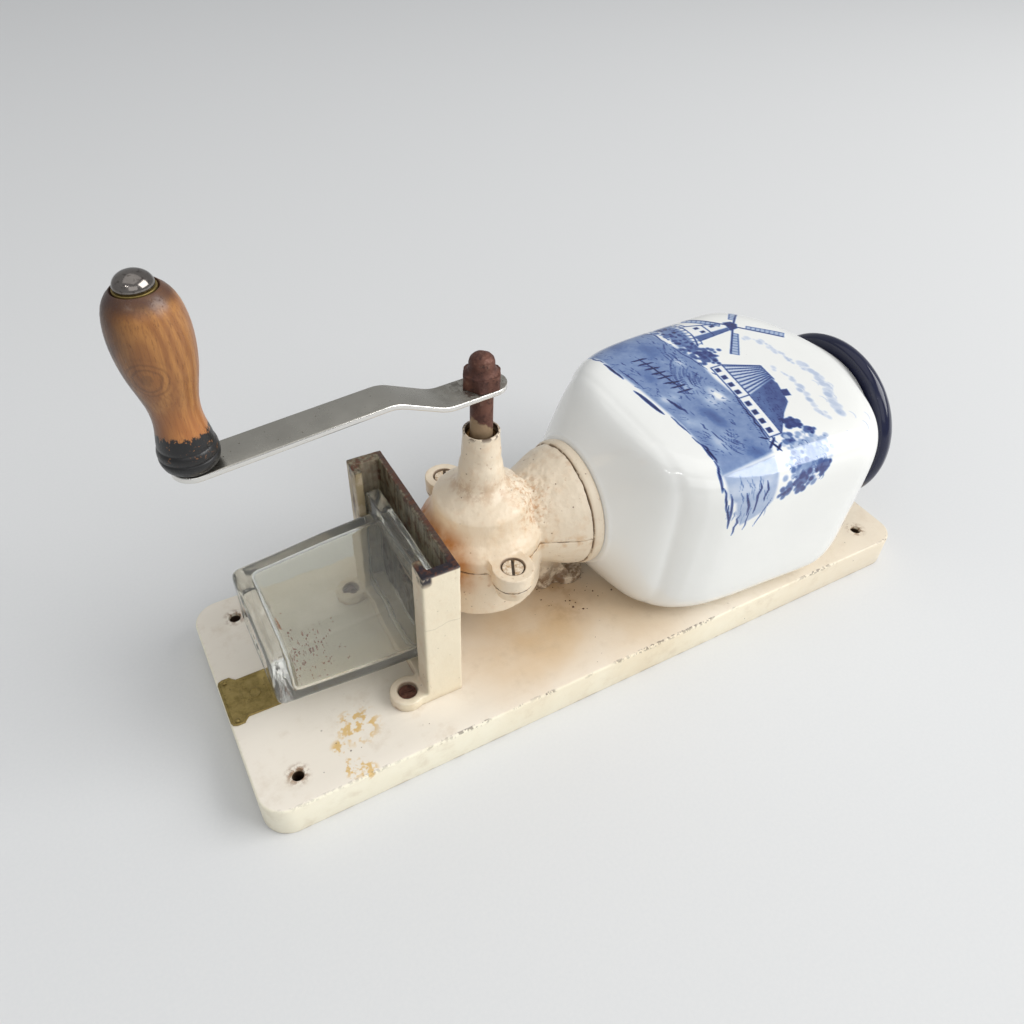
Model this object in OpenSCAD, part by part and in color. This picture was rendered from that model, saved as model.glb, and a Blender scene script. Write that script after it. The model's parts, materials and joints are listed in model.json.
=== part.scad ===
// Wall-mounted hand crank coffee grinder, lying on the back of its board.
// Origin: centre of the board's back face. +X runs from the glass cup to the
// hopper lid (up, on a wall), +Y is across the board, +Z points away from it.

/* [Board] */
// Length of the mounting board
board_l = 376; // [376:1:420]
// Width of the mounting board
board_w = 130; // [128:1:150]
// Thickness of the mounting board
board_t = 19; // [19:0.5:20]
// Radius of the board's corners
board_r = 13; // [4:1:25]
// Wall screw spacing along the board
hole_span_x = 338; // [330:1:345]
// Wall screw spacing across the board
hole_span_y = 100; // [95:1:106]
// Wall screw hole diameter
hole_d = 5.5; // [4:0.5:7]

/* [Mill] */
// Distance of the crank spindle from the board's middle, towards the cup
mill_offset = 54; // [53:0.5:55]
// Height of the neck and hopper axis above the board's back
axis_z = 72.5; // [72.5:0.5:74]
// Height of the joint between the rear housing and the front cover
split_z = 74; // [74:0.5:75]
// Outer radius of the burr drum
drum_r = 30; // [29.5:0.5:31]
// Diameter of the spindle
spindle_d = 10; // [9.5:0.1:10.2]

/* [Cup and bracket] */
// Outer width of the cup bracket
bracket_w = 86; // [84:1:88]
// Height of the bracket's open top above the board's back
bracket_top = 103.5; // [100:0.5:110]
// Length of the glass cup's body below its flange
cup_l = 68.5; // [60:0.5:70]

/* [Crank] */
// Distance from the spindle to the grip
crank_r = 117.8; // [100:1:130]
// Crank angle at rest, from +X
crank_angle = 185; // [150:0.5:210]
// Width of the crank arm
arm_w = 16; // [12:0.5:18]
// Thickness of the crank arm
arm_t = 2.5; // [2:0.1:3]
// Length of the wooden grip
grip_l = 66.5; // [60:0.5:80]

/* [Hopper] */
// Half width of the hopper across the board
hopper_half_w = 65.4; // [62:0.2:66]
// Half height of the hopper above and below its middle
hopper_half_h = 51; // [46:0.2:51]
// How far the hopper's body stands to the side of its neck, as fired
hopper_lean = 3.4; // [0:0.2:4]
// Turn of the hopper about its neck
hopper_turn = 2.9; // [0:0.1:3]
// Wall thickness of the hopper
hopper_wall = 5; // [4:0.5:6]

/* [Hidden] */
$fn = 64;
gap = 0.05;
mill_x = -mill_offset;
neck_end_x = -9;
collar_end_x = -3;
collar_r = 32.3;
spigot_r = 28;
spigot_x = -8.2;
gasket_r = 25.42;
chamber_r = 24.5;
seat_r = 22.5;
foot_post_x = -17;
drum_z = 46;
rear_wall = 5;
boss_z = 34;
boss_r = 9;
flange_z = 82;
ear_r = 9.8;
ear_shift = -2;
ear_dist = 35.3;
ear_web_w = 17;
ear_depth = 8;
ear_taper = 2.6;
cover_screw_r = 2.5;
cover_head_r = 5;
cover_head_h = 3;
tower_top_z = 134;
tower_bore_r = 7;
bush_z = 108;
bush_l = 23;
spindle_r = spindle_d / 2;
burr_z = 60;
burr_h = 13.5;
burr_gap = 1.2;
cone_wide_r = 19.3;
cone_slope = 9 / burr_h;
pivot_r = 3;
adjuster_r = 4;
adjuster_z = 27;
adjuster_top_z = 57;
plate_x = -85.5;
plate_t = 3.5;
rail_x = -103;
lip_t = 4;
lip_w = 11.5;
arm_wall = 5;
ledge_z = 25.4;
foot_x = -110.5;
foot_y = 35.5;
foot_r = 8.5;
foot_h = 6;
foot_screw_r = 2;
foot_head_r = 4.3;
cup_flange_x = -91.5;
cup_flange_t = 7;
cup_wall = 4.5;
cup_base = 8;
hub_z = 157;
arm_rise = 10.4;
arm_end_z = hub_z + arm_rise;
bend_start = 20;
bend_end = 43;
arm_droop = 1.7;
hub_end = 11.3;
square_w = 8;
thread_r = 3.9;
nut_top_z = 171.7;
axle_r = 3;
washer_t = 0.8;
grip_top = washer_t + grip_l;
mouth_x = 161;
lid_gap = 0.1;
badge_x = -187.6;
badge_l = 27;
badge_w = 28;
badge_t = 0.8;

// ---- shared shapes -------------------------------------------------------

module mirror_y() {
  children();
  mirror([0, 1, 0]) children();
}

// Places a shape drawn along +Z so that it runs along +X at the neck's height
module along_x() {
  translate([0, 0, axis_z]) rotate([0, 90, 0]) children();
}

module at_spindle() {
  translate([mill_x, 0, 0]) children();
}

// Crank frame: origin on the spindle, +X towards the grip
module crank_frame() {
  at_spindle() rotate([0, 0, crank_angle]) children();
}

// Height of the arm's upper face beyond its bend, where it droops a little outwards
function arm_top(x) = arm_end_z - tan(arm_droop) * (x - bend_end + 0.8);

// Grip frame: origin on the arm's upper face, +Z along the grip's axle
module grip_frame() {
  crank_frame() translate([crank_r, 0, arm_top(crank_r)]) rotate([0, arm_droop, 0]) children();
}

module rounded_rect(l, w, r) {
  hull() {
    for (x = [-1, 1]) {
      for (y = [-1, 1]) translate([x * (l / 2 - r), y * (w / 2 - r)]) circle(r);
    }
  }
}

// Hexagon prism given by its width across flats
module hex(af, h) {
  cylinder(h = h, r = af / 2 / cos(30), $fn = 6);
}

// One closed loop in the plane x: a superellipse with half sizes hy and hz
function loop(x, hy, hz, p, zc, n) = [
  for (i = [0 : n - 1])
    let (a = 360 * (i + 0.5) / n, c = cos(a), s = sin(a),
         r = pow(pow(abs(c) / hy, p) + pow(abs(s) / hz, p), -1 / p))
    [x, r * c, zc + r * s]
];

// Skin through loops of equal size. A ring of loops closes on itself, and
// otherwise the first and the last loop are capped.
module loft(loops, ring) {
  n = len(loops[0]);
  m = len(loops);
  last = ring ? m - 1 : m - 2;
  sides = [
    for (j = [0 : last])
      for (i = [0 : n - 1])
        let (k = (j + 1) % m, a = j * n + i, b = j * n + (i + 1) % n,
             c = k * n + (i + 1) % n, d = k * n + i)
        each [[a, c, b], [a, d, c]]
  ];
  caps = ring ? [] : [
    [for (i = [0 : n - 1]) i],
    [for (i = [n - 1 : -1 : 0]) (m - 1) * n + i]
  ];
  polyhedron(points = [for (l = loops) each l], faces = concat(sides, caps), convexity = 8);
}

// ---- board and badge -----------------------------------------------------

module board() {
  color("AntiqueWhite") difference() {
    linear_extrude(board_t) rounded_rect(board_l, board_w, board_r);
    for (x = [-1, 1]) {
      for (y = [-1, 1]) {
        translate([x * hole_span_x / 2, y * hole_span_y / 2, -1]) cylinder(h = board_t + 2, d = hole_d);
      }
    }
    mirror_y() translate([foot_x, foot_y, 7]) cylinder(h = board_t, r = foot_screw_r);
    translate([0, 0, -1]) neck_bolt_space(board_t + 2);
  }
}

// A plain brass plate with a wider end, no lettering
module badge() {
  color("DarkGoldenrod") difference() {
    translate([badge_x, 0, board_t]) {
      translate([badge_l / 2, 0, 0]) linear_extrude(badge_t) rounded_rect(badge_l, badge_w - 5, 2);
      translate([3.5, 0, 0]) linear_extrude(badge_t) rounded_rect(7, badge_w, 2);
    }
    badge_pin_places() translate([0, 0, -1]) cylinder(h = 3, r = 0.7);
  }
}

module badge_pin_places() {
  for (p = [[3.2, 11.5], [3.2, -11.5], [badge_l - 3, 8.5], [badge_l - 3, -8.5]]) {
    translate([badge_x + p[0], p[1], board_t]) children();
  }
}

module badge_pins() {
  color("Goldenrod") badge_pin_places() {
    cylinder(h = badge_t, r = 0.7 - gap / 2);
    translate([0, 0, badge_t]) cylinder(h = 0.5, r1 = 1.2, r2 = 0.8);
  }
}

// ---- cup bracket ---------------------------------------------------------

module cup_bracket() {
  half_w = bracket_w / 2;
  rise = bracket_top - board_t;
  color("Tan") difference() {
    union() {
      translate([plate_x - plate_t, -half_w, board_t]) cube([plate_t, bracket_w, rise]);
      mirror_y() {
        translate([rail_x, half_w - arm_wall, board_t]) cube([plate_x - rail_x, arm_wall, rise]);
        translate([rail_x, half_w - lip_w, board_t]) cube([lip_t, lip_w, rise]);
        translate([foot_x, foot_y, board_t]) cylinder(h = foot_h, r = foot_r);
        translate([foot_x, foot_y - 7, board_t]) cube([rail_x - foot_x + 1, 14.5, foot_h]);
      }
      translate([rail_x, -half_w + 1, board_t]) {
        cube([plate_x - rail_x - 1, bracket_w - 2, ledge_z - board_t]);
      }
    }
    mirror_y() translate([foot_x, foot_y, board_t - 1]) {
      cylinder(h = foot_h + 2, r = foot_screw_r + gap);
      translate([0, 0, 3]) cylinder(h = foot_h, r = foot_head_r + 0.3);
    }
    chute_space();
  }
}

module bracket_screws() {
  head_z = board_t + 2;
  color("SaddleBrown") mirror_y() translate([foot_x, foot_y, 0]) difference() {
    union() {
      translate([0, 0, 7]) cylinder(h = head_z - 7, r = foot_screw_r);
      translate([0, 0, head_z]) cylinder(h = 2, r = foot_head_r);
    }
    translate([-6, -0.5, head_z + 1]) cube([12, 1, 2]);
  }
}

// ---- housing -------------------------------------------------------------

// Outside of the neck, from the drum to the collar
module neck_outside() {
  along_x() rotate_extrude() polygon([
    [0, mill_x + 10], [18.5, -40], [21.2, -35], [23.4, -30], [25.3, -25.5], [27.4, -21],
    [29.2, -16.8], [30.6, -12.6], [31, neck_end_x], [spigot_r, neck_end_x],
    [spigot_r, spigot_x], [0, spigot_x]
  ]);
}

// Bean passage inside the neck
module neck_inside() {
  along_x() rotate_extrude() polygon([
    [0, mill_x + 6], [13.5, mill_x + 6], [13.5, -34], [16.5, -26], [22.5, -15], [24.2, -8], [0, -8]
  ]);
}

module chute_space() {
  translate([-92, -14, 51]) cube([22, 28, 13]);
}

module at_ears() {
  for (s = [-1, 1]) at_spindle() translate([ear_shift, s * ear_dist, 0]) children();
}

// Ears on both sides of the drum; each tapers by the given amount at its lower end
module ears(z, h, taper) {
  at_ears() translate([0, 0, z]) cylinder(h = h, r1 = ear_r - taper, r2 = ear_r);
  w = ear_web_w - 2 * taper;
  at_spindle() translate([ear_shift - w / 2, -ear_dist, z]) cube([w, 2 * ear_dist, h]);
}

module neck_bolt_space(h) {
  translate([foot_post_x, 0, 0]) {
    cylinder(h = h, r = 2.5);
    cylinder(h = 4, r = 5);
  }
}

module rear_housing() {
  color("Wheat") difference() {
    union() {
      at_spindle() translate([0, 0, drum_z]) cylinder(h = split_z - drum_z, r = drum_r);
      at_spindle() translate([0, 0, boss_z]) cylinder(h = drum_z - boss_z + 1, r = boss_r);
      ears(split_z - ear_depth, ear_depth, ear_taper);
      neck_outside();
      translate([plate_x, -18, 47.5]) cube([20, 36, 20]);
      neck_foot();
    }
    translate([-100, -60, split_z]) cube([200, 120, 60]);
    at_spindle() translate([0, 0, drum_z + rear_wall]) cylinder(h = 40, r = seat_r);
    at_spindle() translate([0, 0, burr_z]) cylinder(h = 40, r = chamber_r);
    burr_pin_places() translate([0, 0, -4]) cylinder(h = 5, r = 1);
    neck_inside();
    chute_space();
    at_spindle() cylinder(h = 60, r = adjuster_r);
    ear_holes();
    translate([foot_post_x, 0, board_t - 1]) cylinder(h = 17, r = 2.5);
  }
}

// Pillar under the neck with a gusset that spreads into a round pad
module neck_foot() {
  translate([foot_post_x, 0, board_t]) cylinder(h = 28, r = 6.3);
  translate([-2, 0, board_t]) cylinder(h = 5, r = 9.5);
  translate([0, 5, board_t]) rotate([90, 0, 0]) linear_extrude(10) polygon([
    [foot_post_x, 0], [-2, 0], [-2, 5], [-9, 16], [-11, 18], [foot_post_x, 18]
  ]);
}

// Where the ring burr's pins stand on its seat
module burr_pin_places() {
  for (a = [45, 225]) {
    at_spindle() rotate([0, 0, a]) translate([chamber_r - 1.2, 0, burr_z]) children();
  }
}

module ear_holes() {
  at_ears() translate([0, 0, split_z - 7]) cylinder(h = 30, r = cover_screw_r);
}

// Countersunk bolt from the board's back into the neck's foot
module neck_foot_bolt() {
  color("DimGray") translate([foot_post_x, 0, 0.5]) difference() {
    union() {
      cylinder(h = 2.5, r = 5 - gap);
      cylinder(h = 33, r = 2.5 - gap);
    }
    translate([-6, -0.6, -0.5]) cube([12, 1.2, 1.5]);
  }
}

// Front half of the housing with the spindle's bearing tower
module front_cover() {
  dome_top = tower_top_z - 28;
  color("Bisque") difference() {
    union() {
      at_spindle() rotate_extrude() polygon([
        [0, split_z], [drum_r, split_z], [drum_r, flange_z - 2], [28, flange_z + 1], [25, 86.4],
        [23.6, 90], [22.9, 94], [22.6, 96.6], [21.4, 98.2], [17.6, 100.8], [13.4, 103.4],
        [11.2, dome_top], [10.4, 111.5], [10.2, 115.5], [9.3, 118.5], [8.8, 126], [8.4, tower_top_z], [0, tower_top_z]
      ]);
      ears(split_z, flange_z - split_z, 0);
      neck_outside();
    }
    translate([-100, -60, -1]) cube([200, 120, split_z + 1]);
    at_spindle() rotate_extrude() polygon([
      [0, split_z - 1], [chamber_r, split_z - 1], [chamber_r, 80], [18.5, 88], [14.5, 95],
      [tower_bore_r, 100], [tower_bore_r, tower_top_z + 1], [0, tower_top_z + 1]
    ]);
    neck_inside();
    ear_holes();
    at_ears() translate([0, 0, flange_z - cover_head_h]) cylinder(h = 10, r = cover_head_r + 0.3);
  }
}

module cover_screws() {
  color("LightGray") at_ears() difference() {
    union() {
      translate([0, 0, split_z - 6.5]) cylinder(h = 12, r = cover_screw_r);
      translate([0, 0, flange_z - cover_head_h]) cylinder(h = cover_head_h - 0.8, r = cover_head_r);
    }
    rotate([0, 0, 65]) translate([-6, -0.6, flange_z - 2]) cube([12, 1.2, 3]);
  }
}

module neck_collar() {
  color("Wheat") along_x() difference() {
    rotate_extrude() polygon([
      [spigot_r, neck_end_x], [collar_r - 1.2, neck_end_x], [collar_r, neck_end_x + 1.2],
      [collar_r, collar_end_x - 1], [collar_r - 0.8, collar_end_x], [spigot_r, collar_end_x]
    ]);
  }
}

module hopper_gasket() {
  color("DarkSlateGray") along_x() translate([0, 0, spigot_x + 0.2]) difference() {
    cylinder(h = 4.6, r = spigot_r);
    translate([0, 0, -1]) cylinder(h = 9, r = gasket_r);
  }
}

// ---- hopper and lid ------------------------------------------------------

// Stations along the hopper: x, half width and half height as shares of the
// body's, and the exponent that squares the section
hopper_stations = [
  [-3, 0.506, 0.649, 2], [0, 0.555, 0.71, 2], [4, 0.618, 0.796, 2.2], [8, 0.671, 0.875, 2.65],
  [12, 0.709, 0.941, 3.3], [16, 0.739, 0.984, 4.1], [20, 0.771, 0.998, 4.9], [24, 0.817, 1, 5.2],
  [30, 0.87, 1, 5.6], [42, 0.927, 0.996, 6.4], [60, 0.957, 0.993, 7.2], [85, 0.978, 0.99, 7.4],
  [108, 0.997, 0.99, 7.4], [120, 1, 0.99, 7], [128, 0.966, 0.99, 6], [136, 0.896, 0.988, 4.6],
  [142, 0.838, 0.978, 3.4], [147, 0.78, 0.957, 2.6], [152, 0.722, 0.92, 2.15],
  [157, 0.662, 0.853, 2], [mouth_x, 0.619, 0.794, 2]
];

// Share of the lean that a station has: none at the neck, all of it at the body
function lean(x) = let (t = min(max((x + 3) / 20, 0), 1)) t * t * (3 - 2 * t);

// Loop of the hopper with the body's lean and turn
function hopper_loop(s, wall, n) = [
  for (i = [0 : n - 1])
    let (a = 360 * (i + 0.5) / n, c = cos(a), q = sin(a), e = 2 / s[3],
         y = sign(c) * pow(abs(c), e) * (hopper_half_w * s[1] - wall) - hopper_lean * lean(s[0]),
         z = sign(q) * pow(abs(q), e) * (hopper_half_h * s[2] - wall))
    [s[0], y * cos(hopper_turn) - z * sin(hopper_turn),
     axis_z + y * sin(hopper_turn) + z * cos(hopper_turn)]
];

module hopper() {
  n = 56;
  neck_r = 25.4;
  count = len(hopper_stations);
  outer = [for (s = hopper_stations) hopper_loop(s, 0, n)];
  inner = [for (i = [count - 1 : -1 : 2]) hopper_loop(hopper_stations[i], hopper_wall, n)];
  neck_in = [for (x = [-3, spigot_x + 0.2]) loop(x, neck_r - 4, neck_r - 4, 2, axis_z, n)];
  neck_out = [for (x = [spigot_x + 0.2, -3]) loop(x, neck_r, neck_r, 2, axis_z, n)];
  color("White") loft(concat(neck_out, outer, inner, neck_in), true);
}

// Domed cap whose skirt plugs into the hopper's mouth
module lid() {
  plug_r = hopper_half_h * 0.794 - hopper_wall - 1;
  color("MidnightBlue") translate([
    0, -hopper_lean * cos(hopper_turn), axis_z - hopper_lean * sin(hopper_turn)
  ]) rotate([0, 90, 0]) rotate_extrude() polygon([
    [plug_r - 3.5, mouth_x - 9], [plug_r - 0.6, mouth_x - 9], [plug_r, mouth_x - 7.5],
    [plug_r, mouth_x + lid_gap], [46.6, mouth_x + lid_gap], [47.8, mouth_x + 2.4],
    [48, mouth_x + 4.4], [47.1, mouth_x + 7], [43.4, mouth_x + 10.6], [36, mouth_x + 14],
    [26, mouth_x + 16.5], [13, mouth_x + 17.8], [0, mouth_x + 18.2], [0, mouth_x + 13.2],
    [25, mouth_x + 11.5], [plug_r - 3.5, mouth_x + 6]
  ]);
}

// ---- glass cup -----------------------------------------------------------

// Loops of the cup: x, half width, half height and centre height
module glass_cup() {
  n = 48;
  neck_x = cup_flange_x - cup_flange_t;
  end_x = neck_x - cup_l;
  outer = [
    [end_x, 27, 16.6, 56.4], [end_x + 1.6, 29.2, 18.8, 56.4], [end_x + 12, 29.7, 19.6, 56.7],
    [neck_x, 30.6, 23.6, 58.2], [neck_x, 37, 32.4, 58.5], [cup_flange_x, 37, 32.4, 58.5]
  ];
  inner = [
    [cup_flange_x, 26.6, 20, 58.3], [neck_x, 26.1, 19.1, 58.2],
    [end_x + cup_base + 4, 25.2, 15.2, 56.8], [end_x + cup_base, 22.5, 12.5, 56.7]
  ];
  color("PaleTurquoise", 0.4) {
    loft([for (s = concat(outer, inner)) loop(s[0], s[1], s[2], 8, s[3], n)], false);
  }
}

// ---- burrs and spindle ---------------------------------------------------

module ring_burr() {
  teeth = 10;
  color("SlateGray") at_spindle() translate([0, 0, burr_z]) difference() {
    cylinder(h = burr_h, r = chamber_r);
    translate([0, 0, -gap]) cylinder(
      h = burr_h + 2 * gap,
      r1 = cone_wide_r + burr_gap,
      r2 = cone_wide_r + burr_gap - cone_slope * burr_h
    );
    for (i = [0 : teeth - 1]) {
      rotate([0, 0, 360 / teeth * i]) translate([9, -0.7, 6]) cube([8.6, 1.4, burr_h]);
    }
    for (a = [45, 225]) {
      rotate([0, 0, a]) translate([chamber_r - 1.2, -1, -1]) cube([3, 2, 5.5]);
      rotate([0, 0, a]) translate([chamber_r - 1.2, 0, -1]) cylinder(h = 5.5, r = 1);
    }
  }
}

// Two pins that key the ring burr against turning
module ring_burr_pins() {
  color("Silver") burr_pin_places() translate([0, 0, -4]) cylinder(h = 8, r = 1);
}

module bearing_bush() {
  color("Peru") at_spindle() translate([0, 0, bush_z]) difference() {
    cylinder(h = bush_l, r = tower_bore_r);
    translate([0, 0, -1]) cylinder(h = bush_l + 2, r = spindle_r + gap);
  }
}

module adjusting_screw() {
  color("Gray") at_spindle() difference() {
    union() {
      translate([0, 0, adjuster_z]) cylinder(h = adjuster_top_z - adjuster_z, r = adjuster_r - gap);
      translate([0, 0, adjuster_z - 4]) hex(10, 4);
    }
    translate([0, 0, adjuster_top_z - 5]) cylinder(h = 6, r = pivot_r + gap);
  }
}

module lock_nut() {
  color("DarkGray") at_spindle() translate([0, 0, boss_z - 4.5]) difference() {
    hex(13, 4.5);
    translate([0, 0, -1]) cylinder(h = 8, r = adjuster_r);
  }
}

module spindle() {
  color("SaddleBrown") at_spindle() {
    translate([0, 0, adjuster_top_z - 5]) cylinder(h = 5.5, r = pivot_r);
    difference() {
      translate([0, 0, adjuster_top_z + 0.4]) {
        cylinder(h = hub_z - arm_t - adjuster_top_z - 0.4, r = spindle_r);
      }
      translate([-8, 0, 78]) rotate([0, 90, 0]) cylinder(h = 16, r = 1.5);
    }
    rotate([0, 0, crank_angle]) translate([-square_w / 2, -square_w / 2, hub_z - arm_t]) {
      intersection() {
        cube([square_w, square_w, arm_t]);
        translate([square_w / 2, square_w / 2, -1]) cylinder(h = 5, r = spindle_r - 0.2);
      }
    }
    translate([0, 0, hub_z - arm_t]) cylinder(h = 9 + arm_t, r = thread_r);
  }
}

module cone_burr() {
  teeth = 8;
  top_r = cone_wide_r - cone_slope * burr_h;
  color("DimGray") at_spindle() translate([0, 0, burr_z]) difference() {
    union() {
      cylinder(h = burr_h, r1 = cone_wide_r, r2 = top_r);
      translate([0, 0, burr_h]) cylinder(h = 8.5, r1 = top_r, r2 = 8);
    }
    translate([0, 0, -1]) cylinder(h = 30, r = spindle_r);
    for (i = [0 : teeth - 1]) {
      rotate([0, 0, 360 / teeth * i]) translate([8.4, 0, -1]) rotate([0, -24, 28]) {
        translate([0, -1, 0]) cube([12, 2, 30]);
      }
    }
    translate([-12, 0, 78 - burr_z]) rotate([0, 90, 0]) cylinder(h = 24, r = 1.5);
  }
}

module burr_pin() {
  color("Silver") at_spindle() translate([-8, 0, 78]) rotate([0, 90, 0]) cylinder(h = 16, r = 1.5);
}

// Spring that holds the spindle back against the adjusting screw
module burr_spring() {
  turns = 5;
  steps = 16;
  sides = 8;
  wire_r = 0.7;
  coil_r = 6.1;
  z0 = burr_z + burr_h + 8.5 + wire_r + 0.05;
  rise = bush_z - wire_r - 0.05 - z0;
  rings = [
    for (k = [0 : turns * steps])
      let (a = 360 * k / steps, z = z0 + rise * k / (turns * steps))
      [for (s = [0 : sides - 1])
        let (r = coil_r + wire_r * cos(360 * s / sides))
        [r * cos(a), r * sin(a), z + wire_r * sin(360 * s / sides)]]
  ];
  color("Silver") at_spindle() loft([for (i = [len(rings) - 1 : -1 : 0]) rings[i]], false);
}

// ---- crank ---------------------------------------------------------------

module crank_arm() {
  tip = crank_r + 8;
  low = hub_z - arm_t;
  thick = arm_t / cos(arm_droop);
  color("Silver") difference() {
    crank_frame() intersection() {
      translate([0, arm_w / 2, 0]) rotate([90, 0, 0]) linear_extrude(arm_w) polygon([
        [-hub_end, low], [bend_start, low], [bend_start + 3, low + 0.5],
        [bend_end - 3, arm_top(bend_end) - thick - 0.5], [bend_end, arm_top(bend_end) - thick],
        [tip, arm_top(tip) - thick], [tip, arm_top(tip)], [bend_end - 0.8, arm_end_z],
        [bend_end - 4, arm_end_z - 0.7], [bend_start + 2.2, hub_z + 0.7],
        [bend_start - 0.8, hub_z], [-hub_end, hub_z]
      ]);
      translate([0, 0, low - 1]) linear_extrude(20) hull() {
        translate([-hub_end + arm_w / 2, 0]) circle(r = arm_w / 2);
        translate([crank_r, 0]) circle(r = arm_w / 2);
      }
    }
    crank_frame() translate([-square_w / 2, -square_w / 2, low - 1]) cube([square_w, square_w, arm_t + 2]);
    grip_frame() translate([0, 0, -arm_t - 1]) cylinder(h = arm_t + 2, r = axle_r);
  }
}

module cap_nut() {
  hex_top = hub_z + 6.3;
  color("SaddleBrown") at_spindle() difference() {
    union() {
      intersection() {
        translate([0, 0, hub_z]) hex(15.4, 6.3);
        translate([0, 0, hub_z]) cylinder(h = 6.3, r1 = 8.8, r2 = 8.2);
      }
      rotate_extrude() polygon([
        [0, hub_z], [7, hub_z], [7, hex_top], [6, hex_top + 1.4], [5.6, hex_top + 2.6],
        [5.6, nut_top_z - 4], [5.1, nut_top_z - 2.2], [3.9, nut_top_z - 0.9],
        [2.1, nut_top_z - 0.2], [0, nut_top_z]
      ]);
    }
    translate([0, 0, hub_z - 1]) cylinder(h = 10.2, r = thread_r);
  }
}

// Riveted axle that the grip turns on
module grip_axle() {
  color("Silver") grip_frame() {
    translate([0, 0, -arm_t]) cylinder(h = grip_top + 2.4 + arm_t, r = axle_r);
    translate([0, 0, -arm_t - 1.6]) cylinder(h = 1.6, r1 = 3.8, r2 = 5);
  }
}

module grip_washer() {
  color("Silver") grip_frame() difference() {
    cylinder(h = washer_t - 0.2, r = 6);
    translate([0, 0, -1]) cylinder(h = 3, r = axle_r + gap);
  }
}

module grip() {
  k = grip_l / 66.5;
  color("Peru") grip_frame() translate([0, 0, washer_t]) difference() {
    rotate_extrude() polygon([
      [0, 0], [7.2, 0], [9.2, 1.2 * k], [10.1, 3.4 * k], [10.3, 6 * k], [10.1, 8 * k], [9.3, 11.5 * k],
      [8.4, 16 * k], [8, 21 * k], [8.5, 26.5 * k], [9.8, 32 * k], [11.2, 37.5 * k], [12.1, 43 * k],
      [12.6, 49 * k], [12.4, 54.5 * k], [11.5, 59.5 * k], [10, 63 * k], [7.9, 65.4 * k],
      [7.3, 66.1 * k], [7, 65.6 * k], [6.9, 65 * k], [0, 65 * k]
    ]);
    translate([0, 0, -1]) cylinder(h = 90, r = axle_r + gap);
  }
}

module cap_washer() {
  color("DarkGoldenrod") grip_frame() translate([0, 0, grip_top - 1.3]) difference() {
    cylinder(h = 1, r = 6.5);
    translate([0, 0, -1]) cylinder(h = 3, r = axle_r + gap);
  }
}

module grip_cap() {
  color("Gainsboro") grip_frame() translate([0, 0, grip_top - 0.3]) difference() {
    rotate_extrude() polygon([
      [0, 0], [5.9, 0], [6.1, 0.7], [5.8, 1.9], [4.9, 3.2], [3.5, 4.2], [1.8, 4.8], [0, 5]
    ]);
    translate([0, 0, -1]) cylinder(h = 3.7, r = axle_r + gap);
  }
}

board();
badge();
badge_pins();
cup_bracket();
bracket_screws();
rear_housing();
neck_foot_bolt();
front_cover();
cover_screws();
neck_collar();
hopper_gasket();
hopper();
lid();
glass_cup();
ring_burr();
ring_burr_pins();
bearing_bush();
adjusting_screw();
lock_nut();
spindle();
cone_burr();
burr_pin();
burr_spring();
crank_arm();
cap_nut();
grip_axle();
grip_washer();
grip();
cap_washer();
grip_cap();
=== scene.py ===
"""Looks of an old wall-mounted hand crank coffee grinder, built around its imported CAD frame."""

import json
import math
from contextlib import contextmanager

import bmesh
import bpy
import numpy as np
from mathutils import Matrix, Vector, noise


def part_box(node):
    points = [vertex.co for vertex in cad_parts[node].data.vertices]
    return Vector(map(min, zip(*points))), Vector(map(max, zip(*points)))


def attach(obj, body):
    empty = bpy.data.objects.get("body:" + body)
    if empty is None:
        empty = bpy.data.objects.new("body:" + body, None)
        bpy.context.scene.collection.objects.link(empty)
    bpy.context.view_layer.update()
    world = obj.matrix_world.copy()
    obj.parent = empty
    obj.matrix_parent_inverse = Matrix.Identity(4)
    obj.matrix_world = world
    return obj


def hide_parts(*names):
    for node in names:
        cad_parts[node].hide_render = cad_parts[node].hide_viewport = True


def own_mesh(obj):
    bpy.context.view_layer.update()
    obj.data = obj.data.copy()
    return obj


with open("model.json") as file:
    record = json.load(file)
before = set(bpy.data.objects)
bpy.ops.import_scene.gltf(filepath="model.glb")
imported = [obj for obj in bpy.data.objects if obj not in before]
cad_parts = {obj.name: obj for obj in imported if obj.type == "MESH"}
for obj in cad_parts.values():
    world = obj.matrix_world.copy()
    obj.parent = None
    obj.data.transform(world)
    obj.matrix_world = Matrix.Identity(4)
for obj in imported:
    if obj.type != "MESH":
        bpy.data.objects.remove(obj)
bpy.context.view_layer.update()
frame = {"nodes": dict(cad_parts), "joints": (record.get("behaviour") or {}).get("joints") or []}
joints = {j["name"]: j for j in frame["joints"]}

MM = 0.001
board_lo, board_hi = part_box("board")
TOP = board_hi.z / MM
BOARD_HALF = [(board_hi[i] - board_lo[i]) / 2 / MM for i in (0, 1)]
BOARD_CORNER = 13
SCREW_HOLES = [(x, y) for x in (-169, 169) for y in (-50, 50)]
BRACKET_SCREWS = [(-110.5, y) for y in (-35.5, 35.5)]
# height of the split between the two castings, and the middle of each ear from the spindle
SPLIT_Z = 74
EAR_X, EAR_Y = -2, 35.3
AXIS_Z = sum(corner.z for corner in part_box("neck_collar")) / 2 / MM
SPINDLE = [v / MM for v in joints["crank_turn"]["pos_m"][:2]]
# the grip's axle stands on the arm's upper face and leans outwards with it
GRIP = [v / MM for v in joints["grip_turn"]["pos_m"]]
AXLE = Vector(joints["grip_turn"]["axis"]).normalized()
CRANK_ANGLE = math.atan2(GRIP[1] - SPINDLE[1], GRIP[0] - SPINDLE[0])
CRANK_RADIUS = math.hypot(GRIP[0] - SPINDLE[0], GRIP[1] - SPINDLE[1])
rng = np.random.default_rng(7)


# ---- camera, floor and light ---------------------------------------------

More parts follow.
